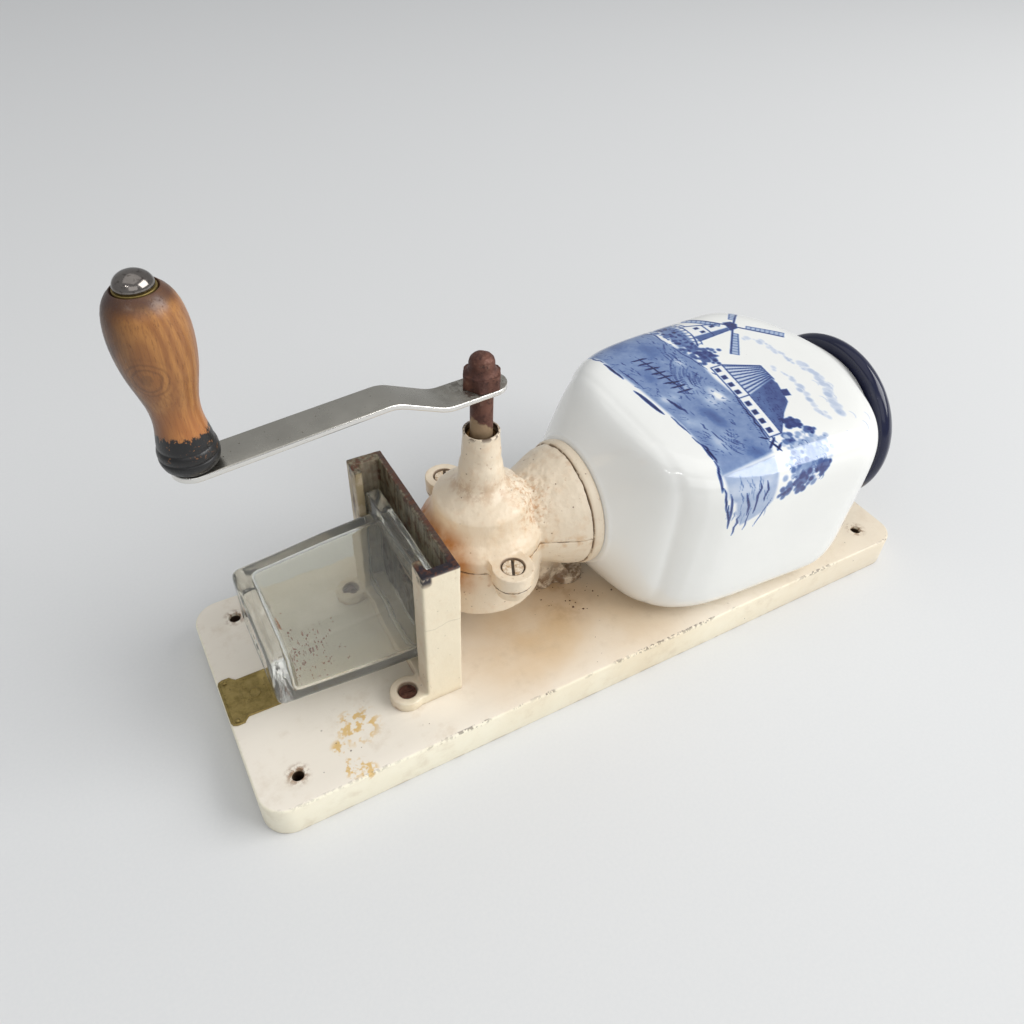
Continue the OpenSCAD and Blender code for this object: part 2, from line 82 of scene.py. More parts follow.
def add_camera():
    azimuth, elevation, roll = (math.radians(a) for a in (-30.757, 42.555, 2.536))
    back = Vector((
        math.sin(azimuth) * math.cos(elevation),
        -math.cos(azimuth) * math.cos(elevation),
        math.sin(elevation),
    ))
    right = (-back).cross(Vector((0, 0, 1))).normalized()
    up = right.cross(-back)
    c, s = math.cos(roll), math.sin(roll)
    right, up = c * right + s * up, -s * right + c * up
    data = bpy.data.cameras.new("camera")
    data.sensor_width = 36
    data.lens = 29.09
    data.clip_start = 0.01
    camera = bpy.data.objects.new("camera", data)
    camera.matrix_world = Matrix((
        (right.x, up.x, back.x, -0.18798),
        (right.y, up.y, back.y, -0.25407),
        (right.z, up.z, back.z, 0.34938),
        (0, 0, 0, 1),
    ))
    bpy.context.scene.collection.objects.link(camera)
    bpy.context.scene.camera = camera


def add_area(name, place, target, size, power, color=(1, 1, 1)):
    data = bpy.data.lights.new(name, "AREA")
    data.shape = "RECTANGLE"
    data.size, data.size_y = size
    data.energy = power
    data.color = color
    lamp = bpy.data.objects.new(name, data)
    lamp.location = place
    lamp.rotation_euler = (Vector(target) - Vector(place)).to_track_quat("-Z", "Y").to_euler()
    bpy.context.scene.collection.objects.link(lamp)


def add_stage():
    world = bpy.data.worlds.new("world")
    bpy.context.scene.world = world
    world.use_nodes = True
    background = world.node_tree.nodes["Background"]
    background.inputs["Color"].default_value = (0.95, 0.97, 1.0, 1)
    background.inputs["Strength"].default_value = 0.42
    add_area("window", (2.0, -1.4, 1.8), (0, 0, 0.05), (2.4, 2.0), 80)
    add_area("overhead", (-0.2, 0.2, 3.0), (0, 0, 0), (3.0, 3.0), 16)
    add_area("lamp_1", (-1.0, -0.5, 1.15), (0, 0, 0.1), (0.1, 0.03), 0.5)
    add_area("lamp_2", (-0.86, -0.7, 1.15), (0, 0, 0.1), (0.08, 0.03), 0.4)
    add_area("front_fill", (-0.6, -2.2, 1.4), (0, 0, 0.05), (2.0, 1.4), 8)
    verts = [(-4, -4, 0), (4, -4, 0), (4, 4, 0), (-4, 4, 0)]
    floor = mesh_object("floor", verts, [(0, 1, 2, 3)])
    s = Shade("floor_paper", 0.75)
    s.color = s.mix(s.noise(1.6, 3), (214, 215, 215), (220, 220, 219))
    floor.data.materials.append(s.finish())
    bpy.context.scene.view_settings.view_transform = "Standard"


# ---- materials -----------------------------------------------------------

def rgb(r, g, b):
    """A display colour, 0 to 255, as a linear one."""
    out = []
    for v in (r, g, b):
        v /= 255
        out.append(v / 12.92 if v <= 0.04045 else ((v + 0.055) / 1.055) ** 2.4)
    return (*out, 1.0)


class Shade:
    """A node material on the Principled shader, with object coordinates in millimetres."""

    def __init__(self, name, roughness=0.5, metallic=0.0, **sockets):
        self.material = bpy.data.materials.new(name)
        self.material.use_nodes = True
        self.tree = self.material.node_tree
        self.shader = self.tree.nodes["Principled BSDF"]
        self.color = None
        self.shader.inputs["Roughness"].default_value = roughness
        self.shader.inputs["Metallic"].default_value = metallic
        for key, value in sockets.items():
            self.shader.inputs[key.replace("_", " ")].default_value = value
        coordinates = self.tree.nodes.new("ShaderNodeTexCoord").outputs["Object"]
        scale = self.node("VectorMath", operation="SCALE")
        self.link(coordinates, scale.inputs[0])
        scale.inputs["Scale"].default_value = 1 / MM
        self.at = scale.outputs[0]
        split = self.node("SeparateXYZ")
        self.link(self.at, split.inputs[0])
        self.x, self.y, self.z = split.outputs

    def node(self, kind, **settings):
        made = self.tree.nodes.new("ShaderNode" + kind)
        for key, value in settings.items():
            setattr(made, key, value)
        return made

    def link(self, value, socket):
        if isinstance(value, bpy.types.NodeSocket):
            self.tree.links.new(value, socket)
        else:
            socket.default_value = value

    def put(self, socket, value):
        self.link(value, self.shader.inputs[socket])

    def math(self, operation, *values):
        """The values combined two by two, from the left."""
        total = values[0]
        for value in values[1:] or (0.0,):
            made = self.node("Math", operation=operation)
            self.link(total, made.inputs[0])
            self.link(value, made.inputs[1])
            total = made.outputs[0]
        return total

    def add(self, *values):
        return self.math("ADD", *values)

    def minus(self, a, b):
        return self.math("SUBTRACT", a, b)

    def times(self, *values):
        return self.math("MULTIPLY", *values)

    def most(self, *values):
        return self.math("MAXIMUM", *values)

    def length(self, a, b):
        return self.math("SQRT", self.add(self.times(a, a), self.times(b, b)))

    def mix(self, factor, a, b):
        """A mix of two colours, each another node's or a display colour."""
        made = self.node("Mix", data_type="RGBA")
        self.link(factor, made.inputs["Factor"])
        for color, socket in ((a, made.inputs[6]), (b, made.inputs[7])):
            self.link(rgb(*color) if isinstance(color, tuple) else color, socket)
        return made.outputs[2]

    def paint(self, cover, tone, strength=None):
        """Lays a colour over the base colour so far, by a cover of 0 to 1."""
        if strength is not None:
            cover = self.times(cover, strength)
        self.color = self.mix(cover, self.color, tone)

    def stretched(self, sx, sy, sz):
        made = self.node("Mapping")
        self.link(self.at, made.inputs["Vector"])
        made.inputs["Scale"].default_value = (sx, sy, sz)
        return made.outputs[0]

    def noise(self, size, detail=3.0, rough=0.55, at=None):
        """Noise of 0 to 1 with blotches of about the given size in millimetres."""
        made = self.node("TexNoise")
        self.link(self.at if at is None else at, made.inputs["Vector"])
        made.inputs["Scale"].default_value = 1 / size
        made.inputs["Detail"].default_value = detail
        made.inputs["Roughness"].default_value = rough
        return made.outputs["Fac"]

    def cells(self, size):
        """Distance from scattered points about the given size apart, in parts of it."""
        made = self.node("TexVoronoi")
        self.link(self.at, made.inputs["Vector"])
        made.inputs["Scale"].default_value = 1 / size
        return made.outputs["Distance"]

    def step(self, value, lo, hi, out_lo=0.0, out_hi=1.0):
        """Smooth step of a value from lo to hi; lo may be the larger."""
        if lo > hi:
            lo, hi, out_lo, out_hi = hi, lo, out_hi, out_lo
        made = self.node("MapRange", interpolation_type="SMOOTHSTEP")
        self.link(value, made.inputs["Value"])
        for key, number in zip(("From Min", "From Max", "To Min", "To Max"), (lo, hi, out_lo, out_hi)):
            made.inputs[key].default_value = number
        return made.outputs[0]

    def band(self, value, centre, half, soft):
        """1 where the value is within half of the centre, fading over soft."""
        away = self.math("ABSOLUTE", self.minus(value, centre))
        return self.step(away, half + soft, half)

    def spot(self, centre, radius, soft):
        """1 within a distance of a point, fading out over soft."""
        made = self.node("VectorMath", operation="DISTANCE")
        self.link(self.at, made.inputs[0])
        made.inputs[1].default_value = centre
        return self.step(made.outputs["Value"], radius + soft, radius)

    def ramp(self, value, stops):
        made = self.node("ValToRGB")
        ramp = made.color_ramp
        while len(ramp.elements) < len(stops):
            ramp.elements.new(0.5)
        for element, (place, color) in zip(ramp.elements, stops):
            element.position = place
            element.color = rgb(*color)
        self.link(value, made.inputs[0])
        return made.outputs[0]

    def from_axis(self, x, y):
        """Distance from a vertical axis."""
        return self.length(self.minus(self.x, x), self.minus(self.y, y))

    def finish(self, roughness=None, height=None, depth=0.0):
        """The material, bumped by a height of 0 to 1 times the depth in millimetres."""
        self.put("Base Color", self.color)
        if roughness is not None:
            self.put("Roughness", roughness)
        if height is None:
            return self.material
        made = self.node("Bump")
        made.inputs["Distance"].default_value = depth * MM
        self.link(height, made.inputs["Height"])
        self.put("Normal", made.outputs[0])
        return self.material


def board_paint():
    s = Shade("board_paint", 0.42, Coat_Weight=0.15, Coat_Roughness=0.25)
    # distance inwards from the outline
    qx, qy = (
        s.minus(s.math("ABSOLUTE", value), half - BOARD_CORNER)
        for value, half in zip((s.x, s.y), BOARD_HALF)
    )
    corner = s.length(s.most(qx, 0.0), s.most(qy, 0.0))
    inside = s.math("MINIMUM", s.most(qx, qy), 0.0)
    depth = s.minus(BOARD_CORNER, s.add(corner, inside))
    fine, mid, broad = s.noise(1.3, 4), s.noise(9, 5, 0.6), s.noise(60, 3)
    face = s.mix(broad, (231, 222, 206), (241, 233, 220))
    side = s.mix(mid, (244, 239, 219), (238, 229, 204))
    is_top = s.times(s.step(s.z, TOP - 1.6, TOP - 0.3), s.step(depth, 0.2, 1.4))
    s.color = s.mix(is_top, side, face)
    # yellowed towards the hopper's end
    warm = s.times(s.step(s.x, -20, 110), s.step(mid, 0.25, 0.75, 0.55, 0.85))
    s.paint(warm, (232, 214, 184), 0.55)
    # darker towards the far end: painted shade that tones down the light there
    s.paint(s.step(s.x, 60, 160), (222, 208, 186), 0.6)
    # soft brown stains under the mill
    stains = s.most(
        s.spot((-30, -20, TOP), 16, 46), s.times(0.8, s.spot((-56, -38, TOP), 8, 34)),
        s.times(0.75, s.spot((6, -36, TOP), 10, 50)), s.times(0.6, s.spot((-70, 30, TOP), 14, 44)),
    )
    stains = s.times(stains, s.step(s.noise(30, 3, 0.5), 0.3, 0.7, 0.55, 1.0))
    s.paint(stains, (206, 170, 116), 0.75)
    core = s.times(s.spot((-14, -18, TOP), 6, 16), s.step(s.noise(7, 3, 0.6), 0.4, 0.7))
    s.paint(core, (140, 100, 60), 0.3)
    s.paint(s.spot((-12, -14, TOP), 6, 24), (186, 146, 92), 0.35)
    # yellow rubbed marks near the cup's end
    marks = s.most(
        s.spot((-137, -39, TOP), 6, 7), s.spot((-148, -46, TOP), 2.4, 3),
        s.spot((-146, -58, TOP), 3.4, 4), s.spot((-141, -62, TOP), 2.6, 3),
    )
    marks = s.times(marks, s.step(s.noise(3.4, 3, 0.55), 0.5, 0.6))
    s.paint(marks, (218, 178, 98), 0.85)
    # rust rings round the four holes
    ring = s.most(*(s.spot((x, y, TOP), 2.6, 4.5) for x, y in SCREW_HOLES))
    ring = s.times(ring, s.step(s.noise(2.6, 4, 0.6), 0.4, 0.6))
    s.paint(ring, (138, 98, 60), 0.85)
    # dark inside the holes and on the underside, below the top and away from the edges: painted shade
    s.paint(s.times(s.step(s.z, TOP - 1.2, TOP - 2.2), s.step(depth, 6, 8)), (58, 42, 30))
    # dirt, small chips, and dark chips along the near edge
    specks = s.step(s.cells(9), 0.06, 0.035)
    s.paint(s.times(specks, s.step(s.noise(30), 0.48, 0.6)), (84, 66, 50), 0.75)
    grime = s.times(s.step(s.noise(12, 6, 0.65), 0.5, 0.75), 0.3)
    s.paint(grime, (196, 176, 148))
    rim = s.times(s.band(depth, 0.75, 0.45, 0.5), s.step(s.z, TOP - 2, TOP - 1))
    patchy = s.step(s.noise(11, 2, 0.5, at=s.stretched(0.45, 1, 1)), 0.46, 0.6)
    near_edge = s.step(s.y, -60, -64, 0.25, 1)
    chips = s.times(rim, patchy, s.step(s.noise(1.5, 3), 0.46, 0.58), near_edge)
    chips = s.times(chips, s.step(s.x, -170, -70, 0.3, 1))
    s.paint(chips, (78, 64, 52), 0.7)
    lower = s.times(s.step(s.z, 1.8, 0.4), s.step(mid, 0.4, 0.6))
    s.paint(lower, (150, 128, 96), 0.6)
    brush = s.noise(2.2, 3, 0.5, at=s.stretched(0.06, 1, 1))
    height = s.add(s.times(brush, 0.5), s.times(fine, 0.3), s.times(chips, -0.7), s.times(specks, -0.8))
    return s.finish(s.step(s.noise(6, 4), 0.2, 0.8, 0.3, 0.6), height, 0.18)


def cast_enamel(name, stains):
    """Thick old cream enamel on a rough casting, with the stains, and any painted light and shade, of its
    place.
    """
    s = Shade(name, 0.42, Coat_Weight=0.12, Coat_Roughness=0.25)
    broad, mid, fine = s.noise(24, 4, 0.6), s.noise(6, 5, 0.65), s.noise(1.1, 4, 0.6)
    s.color = s.mix(broad, (221, 203, 177), (231, 218, 196))
    s.paint(s.step(mid, 0.48, 0.74), (214, 184, 150), 0.45)
    dots = s.times(s.step(s.cells(3.2), 0.15, 0.08), s.step(s.noise(11, 2), 0.5, 0.62))
    s.paint(dots, (112, 80, 56), 0.7)
    smudge = s.times(s.step(s.noise(2.4, 4, 0.6), 0.6, 0.7), s.step(s.noise(17, 2), 0.46, 0.6))
    s.paint(smudge, (168, 128, 92), 0.5)
    stains(s, mid)
    height = s.add(s.times(mid, 0.9), s.times(fine, 0.35), s.times(dots, -0.5))
    return s.finish(s.step(s.noise(5, 4), 0.25, 0.75, 0.3, 0.58), height, 0.28)


def mill_stains_and_shade(s, mid):
    """Rust, yellowing, dirt and painted shade of the two mill castings. mid is the enamel's own noise."""
    # rust shining through on the side towards the bracket
    rust = s.times(s.step(s.x, -65, -76), s.step(s.z, 56, 70), s.step(s.z, 96, 84))
    s.paint(s.times(rust, s.step(s.noise(9, 3), 0.3, 0.65, 0.6, 1.0)), (168, 106, 42))
    # the drum is yellowed where it faces up, and painted darker there: painted shade that tones down its
    # highlight
    yellowing_and_shade = s.times(s.spot((-48, -26, 84), 10, 20), s.step(mid, 0.3, 0.7, 0.4, 0.9))
    s.paint(yellowing_and_shade, (212, 176, 128), 0.3)
    # cast lumps hold dirt where the dome meets the neck
    lumps = s.times(s.spot((-36, -8, 92), 8, 13), s.step(s.noise(2.6, 4, 0.65), 0.46, 0.64))
    s.paint(s.times(lumps, s.step(s.x, -22, -33, 0.25, 1)), (186, 140, 96), 0.8)
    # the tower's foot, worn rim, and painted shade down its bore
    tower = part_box("front_cover")[1].z / MM
    s.paint(s.times(s.band(s.z, 106.5, 1.8, 4), s.step(mid, 0.42, 0.6)), (182, 148, 114), 0.45)
    rim = s.times(s.step(s.z, tower - 2.5, tower), s.step(s.noise(2.6, 3), 0.47, 0.56))
    s.paint(rim, (72, 48, 34), 0.85)
    # painted shade: near-black down the bore round the spindle
    bore = s.times(s.step(s.z, tower - 6, tower - 4), s.step(s.from_axis(*SPINDLE), 7.4, 7.1))
    s.paint(bore, (44, 30, 22))
    # the split between the castings, and the screws in their ears
    s.paint(s.times(s.band(s.z, SPLIT_Z, 0.16, 0.3), s.step(s.noise(12), 0.36, 0.5)), (70, 46, 30), 0.9)
    s.paint(s.times(s.band(s.z, SPLIT_Z, 1.2, 3.5), s.step(mid, 0.45, 0.65)), (196, 152, 98), 0.5)
    ears = s.most(*(
        s.times(s.band(s.from_axis(SPINDLE[0] + EAR_X, y), 5.3, 0.25, 0.6), s.step(s.z, 78, 79.4))
        for y in (-EAR_Y, EAR_Y)
    ))
    s.paint(ears, (96, 66, 42), 0.75)
    # dirt on the neck's foot
    foot = s.times(s.step(s.z, 44, 24), s.step(s.x, -30, -22), s.step(mid, 0.36, 0.56))
    s.paint(foot, (116, 84, 54), 0.85)


def collar_stains(s, _):
    """Dirt along the edge that meets the neck."""
    s.paint(s.times(s.step(s.x, -8.55, -8.95), s.step(s.noise(6), 0.4, 0.5)), (116, 88, 62), 0.8)


def bracket_stains_and_light(s, mid):
    """Worn metal, patina, dirt and painted light of the cup's bracket."""
    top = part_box("cup_bracket")[1].z / MM
    # outer face of the rails, inner face of the lips and front of the plate behind the cup
    side, lip_x, plate_x = 43, -99, -89
    # bare blackened metal along the top and inside the rails
    off_middle = s.math("ABSOLUTE", s.y)
    inner = s.times(
        s.step(off_middle, side - 4.1, side - 5.4), s.step(s.x, lip_x - 0.8, lip_x + 0.1),
        s.step(s.z, TOP + 7, TOP + 11), s.step(s.x, plate_x + 2.8, plate_x + 1.8),
    )
    rim = s.step(s.z, top - 1.5, top - 0.3)
    lip_top = s.times(
        s.step(s.x, lip_x + 1, lip_x - 0.5), s.step(s.z, top - 7.5, top - 2.5), s.step(mid, 0.42, 0.56),
    )
    worn = s.most(rim, inner, s.times(lip_top, s.step(off_middle, side - 10, side - 7)))
    scratch = s.noise(1.4, 4, 0.6, at=s.stretched(1, 1, 0.06))
    metal = s.mix(s.step(scratch, 0.35, 0.65), (62, 54, 38), (134, 124, 100))
    metal = s.mix(s.step(s.noise(5, 4, 0.7), 0.5, 0.62), metal, (78, 46, 26))
    plate = s.times(s.step(s.x, plate_x + 0.4, plate_x + 1.4), s.step(s.z, top - 2.5, top - 1))
    metal = s.mix(s.times(plate, 0.8), metal, (64, 38, 32))
    black = s.times(s.step(s.y, 10 - side, 7 - side), s.step(s.z, top - 6.5, top - 2.5))
    metal = s.mix(black, metal, (26, 20, 30))
    edge_rust = s.times(rim, s.step(s.noise(2.5, 4, 0.7), 0.46, 0.6))
    metal = s.mix(s.times(edge_rust, 0.6), metal, (96, 52, 28))
    # the far lip's face has worn down to brown patina
    face = s.times(
        s.step(s.y, side - 15, side - 12), s.step(s.x, lip_x + 1.8, lip_x + 0.8), s.step(s.z, 62, 82),
    )
    streak = s.noise(3.2, 4, 0.6, at=s.stretched(1, 1, 0.12))
    patina = s.mix(s.step(streak, 0.5, 0.6), (168, 150, 116), (92, 62, 40))
    s.color = s.mix(s.times(face, s.step(mid, 0.3, 0.5, 0.55, 0.95)), s.color, patina)
    s.color = s.mix(worn, s.color, metal)
    # a wavy joint across the near rail
    wave = s.add(s.z, s.times(s.minus(s.noise(8, 2), 0.5), 5))
    joint = s.times(s.band(wave, 71, 0.1, 0.3), s.step(s.y, 2 - side, 0.4 - side))
    s.paint(joint, (130, 104, 76), 0.55)
    # dirt at the feet and in their screw holes, and the near side painted lighter: painted light where it
    # faces the window lamp
    s.paint(s.times(s.step(s.z, TOP + 4, TOP + 0.2), s.step(mid, 0.4, 0.55)), (142, 104, 62), 0.6)
    holes = s.most(*(s.spot((x, y, TOP + 5), 4.2, 1.4) for x, y in BRACKET_SCREWS))
    s.paint(holes, (104, 68, 42), 0.8)
    # painted light: the near face made lighter, except where the metal is worn bare
    lit_near_side = s.times(s.step(s.y, 3 - side, 0.5 - side), 0.55)
    s.paint(s.times(lit_near_side, s.step(worn, 0.5, 0.1)), (238, 228, 200))


def screw_paint():
    s = Shade("painted_screw", 0.4, Coat_Weight=0.2)
    dirt = s.noise(2.2, 5, 0.65)
    s.color = s.mix(s.step(dirt, 0.4, 0.65), (226, 212, 190), (178, 146, 108))
    # dirt and painted shade down in the slot
    s.paint(s.times(s.step(s.z, 80.7, 80.2), s.step(s.z, 78.6, 79.1)), (44, 28, 18), 0.9)
    return s.finish(None, dirt, 0.2)


def rusty_steel():
    s = Shade("rusty_steel", 0.62, 0.35)
    broad, mid, fine = s.noise(9, 4, 0.6), s.noise(2.6, 5, 0.7), s.noise(0.6, 3)
    s.color = s.mix(s.step(broad, 0.35, 0.65), (76, 46, 38), (108, 70, 56))
    s.paint(s.step(mid, 0.52, 0.68), (54, 34, 30), 0.8)
    rub = s.times(s.step(s.noise(4, 3, 0.6), 0.58, 0.7), 0.6)
    s.paint(rub, (140, 108, 92), 0.7)
    # old paint on the lower shaft
    edge = s.add(s.z, s.times(s.noise(5, 3), 9), s.times(s.x, 0.7))
    shaft = s.times(s.step(s.z, 153.5, 152.5), s.step(edge, 106, 104.5), s.step(s.z, 120, 122))
    s.paint(shaft, (168, 144, 112), 0.75)
    return s.finish(s.step(mid, 0.3, 0.7, 0.42, 0.75), s.add(s.times(mid, 0.8), s.times(fine, 0.4)), 0.3)


def plain_metal(name, tone, roughness, dark, grain=1.5):
    s = Shade(name, roughness, 0.9)
    mottled, streaks = s.noise(grain * 4, 4, 0.6), s.noise(grain, 4, 0.6)
    s.color = s.mix(s.step(mottled, 0.35, 0.7), tone, dark)
    s.paint(s.step(streaks, 0.5, 0.75), dark, 0.35)
    return s.finish(s.step(streaks, 0.2, 0.8, roughness * 0.75, roughness * 1.35), streaks, 0.05)


def nickel_plate():
    s = Shade("nickel_plate", 0.3, 0.95)
    haze, fine = s.noise(16, 4, 0.6), s.noise(0.9, 3, 0.6)
    s.color = s.mix(haze, (174, 170, 159), (196, 192, 182))
    pits = s.times(s.step(s.cells(2.6), 0.15, 0.08), s.step(s.noise(9, 3, 0.6), 0.42, 0.6))
    hub = s.times(s.step(s.from_axis(*SPINDLE), 26, 9), s.step(s.noise(3.2, 5, 0.7), 0.42, 0.58))
    dirt = s.most(pits, s.times(hub, 0.8))
    s.paint(dirt, (58, 50, 40), 0.85)
    # the side faces are smoother, as rubbed edges are, and painted lighter: a painted highlight
    facing = s.node("SeparateXYZ")
    s.link(s.node("NewGeometry").outputs["True Normal"], facing.inputs[0])
    edge = s.step(s.math("ABSOLUTE", facing.outputs[2]), 0.9, 0.5)
    s.paint(edge, (236, 234, 230), 0.8)
    s.put("Metallic", s.step(dirt, 0.2, 0.8, 0.97, 0.35))
    rough = s.add(s.step(haze, 0.2, 0.8, 0.2, 0.34), s.times(dirt, 0.35))
    rough = s.times(rough, s.minus(1.0, s.times(edge, 0.55)))
    return s.finish(rough, s.add(s.times(fine, 0.25), s.times(dirt, -1.0)), 0.08)


# the grip's cap: a darker copy of the plated metal, painted shade for the dimmer light on it
def shaded_chrome():
    s = Shade("shaded_chrome", 0.14, 0.95)
    haze, spots = s.noise(5, 4, 0.6), s.step(s.noise(1.2, 4, 0.65), 0.56, 0.66)
    s.color = s.mix(haze, (112, 106, 102), (146, 140, 134))
    s.paint(spots, (60, 52, 46), 0.5)
    return s.finish(s.step(haze, 0.2, 0.8, 0.09, 0.2))


def turned_wood():
    s = Shade("turned_wood", 0.4, Coat_Weight=0.2, Coat_Roughness=0.2)
    bend = s.noise(26, 2, 0.5, at=s.stretched(1, 1, 0.35))
    across = s.add(s.times(s.x, 0.55), s.times(s.y, 0.9), s.times(bend, 26), s.times(s.z, 0.06))
    rings = s.math("SINE", s.times(across, 1.35))
    grain = s.noise(0.7, 5, 0.65, at=s.stretched(1, 1, 0.045))
    pores = s.step(s.noise(0.42, 3, 0.6, at=s.stretched(1, 1, 0.07)), 0.6, 0.7)
    s.color = s.mix(s.step(rings, -0.9, 0.9), (148, 96, 47), (168, 115, 59))
    s.paint(s.step(grain, 0.4, 0.7), (120, 72, 34), 0.55)
    s.paint(pores, (84, 44, 18), 0.4)
    # a knot, a warmer foot, and dark patina with painted shade on the side away from the window light
    knot = s.spot((GRIP[0] - 6.5, GRIP[1] - 10, GRIP[2] + 42), 1.0, 10)
    eye = s.math("SINE", s.times(s.add(knot, s.times(s.noise(5, 3), 0.35)), 22))
    s.paint(s.times(s.step(knot, 0.02, 0.6), s.step(eye, -0.2, 0.9)), (96, 58, 28), 0.42)
    s.paint(s.step(s.z, GRIP[2] + 34, GRIP[2] + 18), (190, 116, 58), 0.35)
    # darker towards the side turned from the window light: patina and painted shade
    inwards = s.add(s.times(s.x, 0.86), s.times(s.y, -0.5))
    middle = GRIP[0] * 0.86 - GRIP[1] * 0.5
    patina = s.step(inwards, middle + 3, middle - 11.5)
    patina = s.times(patina, s.step(s.noise(11, 3), 0.32, 0.6, 0.6, 1.0))
    s.paint(patina, (52, 28, 14), 0.92)
    # black painted foot with a worn, ragged edge, and dark end grain at the top
    ragged = s.times(s.minus(s.noise(2.1, 5, 0.75, at=s.stretched(1, 1, 0.35)), 0.5), 11)
    black = s.step(s.add(s.z, ragged), GRIP[2] + 16.7, GRIP[2] + 15.7)
    chips = s.times(s.step(s.noise(1.6, 4, 0.7), 0.62, 0.66), s.step(s.z, GRIP[2] + 5, GRIP[2] + 12))
    black = s.times(black, s.minus(1.0, s.times(chips, 0.75)))
    s.paint(black, (12, 11, 12))
    s.paint(s.step(s.z, GRIP[2] + 61.5, GRIP[2] + 65.5), (58, 34, 28), 0.8)
    height = s.add(s.times(grain, 0.5), s.times(pores, -0.6), s.times(black, 0.25))
    return s.finish(s.step(grain, 0.2, 0.8, 0.28, 0.5), height, 0.09)


def glaze():
    s = Shade("white_glaze", 0.12, Coat_Weight=0.6, Coat_Roughness=0.04)
    base = s.mix(s.noise(50, 2), (240, 240, 235), (234, 234, 230))
    # the painting's density, uneven as brushed cobalt is
    density = s.node("Attribute", attribute_name="paint").outputs["Fac"]
    tone = s.times(density, s.step(s.noise(4, 4, 0.6), 0.2, 0.8, 0.9, 1.08))
    blue = s.ramp(tone, [
        (0.0, (238, 239, 237)), (0.16, (204, 212, 225)), (0.34, (146, 166, 198)),
        (0.54, (86, 112, 162)), (0.8, (40, 54, 116)), (1.0, (18, 24, 70)),
    ])
    s.color = s.mix(s.step(tone, 0.0, 0.08), base, blue)
    specks = s.times(s.step(s.cells(16), 0.03, 0.015), s.step(s.noise(40), 0.45, 0.6))
    s.paint(specks, (120, 92, 66), 0.6)
    return s.finish(None, s.noise(14, 2), 0.22)


def navy_gloss():
    s = Shade("navy_lid", 0.2, Specular_IOR_Level=0.35, Coat_Weight=0.3, Coat_Roughness=0.05)
    s.color = s.mix(s.noise(14, 4, 0.6), (14, 18, 44), (22, 28, 60))
    s.paint(s.step(s.cells(5), 0.06, 0.03), (96, 98, 116), 0.5)
    return s.finish(s.step(s.noise(7, 4), 0.3, 0.7, 0.12, 0.26), s.noise(20, 2), 0.15)


def cup_glass():
    s = Shade("cup_glass", 0.03, Transmission_Weight=0.93, IOR=1.34)
    haze = s.noise(12, 4, 0.6)
    s.color = s.mix(haze, (250, 250, 243), (242, 241, 233))
    return s.finish(s.step(haze, 0.45, 0.8, 0.01, 0.06), s.noise(9, 3), 0.12)


def aged_brass():
    s = Shade("aged_brass", 0.42, 0.75)
    mid, fine = s.noise(3.5, 5, 0.7), s.noise(0.8, 3)
    s.color = s.mix(s.step(mid, 0.3, 0.7), (160, 140, 86), (132, 114, 66))
    s.paint(s.step(s.noise(1.8, 4, 0.7), 0.6, 0.7), (78, 62, 40), 0.6)
    return s.finish(s.step(mid, 0.3, 0.7, 0.34, 0.55), s.add(mid, s.times(fine, 0.4)), 0.07)


def plain_stuff(name, tone, other, roughness=0.8, patch=(1.5, 3), grain=(0.3, 3), depth=0.1):
    """Two tones in patches, with a fine grain: coffee, rust flakes, rubber."""
    s = Shade(name, roughness)
    s.color = s.mix(s.noise(*patch), tone, other)
    return s.finish(None, s.noise(*grain), depth)


# ---- meshes --------------------------------------------------------------

def mesh_object(name, verts, faces, smooth=True):
    """A mesh object from points in metres."""
    mesh = bpy.data.meshes.new(name)
    mesh.from_pydata([tuple(v) for v in verts], [], [tuple(f) for f in faces])
    mesh.update()
    obj = bpy.data.objects.new(name, mesh)
    bpy.context.scene.collection.objects.link(obj)
    if smooth:
        mesh.shade_smooth()
    return obj


@contextmanager
def editing(obj):
    """The object's mesh as a bmesh, written back at the end."""
    edit = bmesh.new()
    edit.from_mesh(obj.data)
    yield edit
    edit.to_mesh(obj.data)
    edit.free()


def solid(name, verts_mm, faces, smooth=True):
    """A closed mesh from points in millimetres, with its faces turned outwards."""
    obj = mesh_object(name, np.asarray(verts_mm, float) * MM, faces, smooth)
    with editing(obj) as edit:
        bmesh.ops.recalc_face_normals(edit, faces=edit.faces)
    return obj


def modify(obj, kind, **settings):
    """Adds a modifier and turns its result into the object's mesh."""
    modifier = obj.modifiers.new("change", kind)
    for key, value in settings.items():
        setattr(modifier, key, value)
    bpy.context.view_layer.update()
    evaluated = obj.evaluated_get(bpy.context.evaluated_depsgraph_get())
    mesh = bpy.data.meshes.new_from_object(evaluated)
    old = obj.data
    obj.modifiers.clear()
    obj.data = mesh
    bpy.data.meshes.remove(old)


def loft(name, loops, ring=False, smooth=True):
    """Skins loops of equal size. An open skin is capped at both ends."""
    loops = [np.asarray(loop, float) for loop in loops]
    n, m = len(loops[0]), len(loops)
    faces = []
    for j in range(m if ring else m - 1):
        k = (j + 1) % m
        for i in range(n):
            h = (i + 1) % n
            faces.append((j * n + i, j * n + h, k * n + h, k * n + i))
    if not ring:
        faces.append(tuple(range(n)))
        faces.append(tuple((m - 1) * n + i for i in reversed(range(n))))
    return solid(name, np.concatenate(loops), faces, smooth)


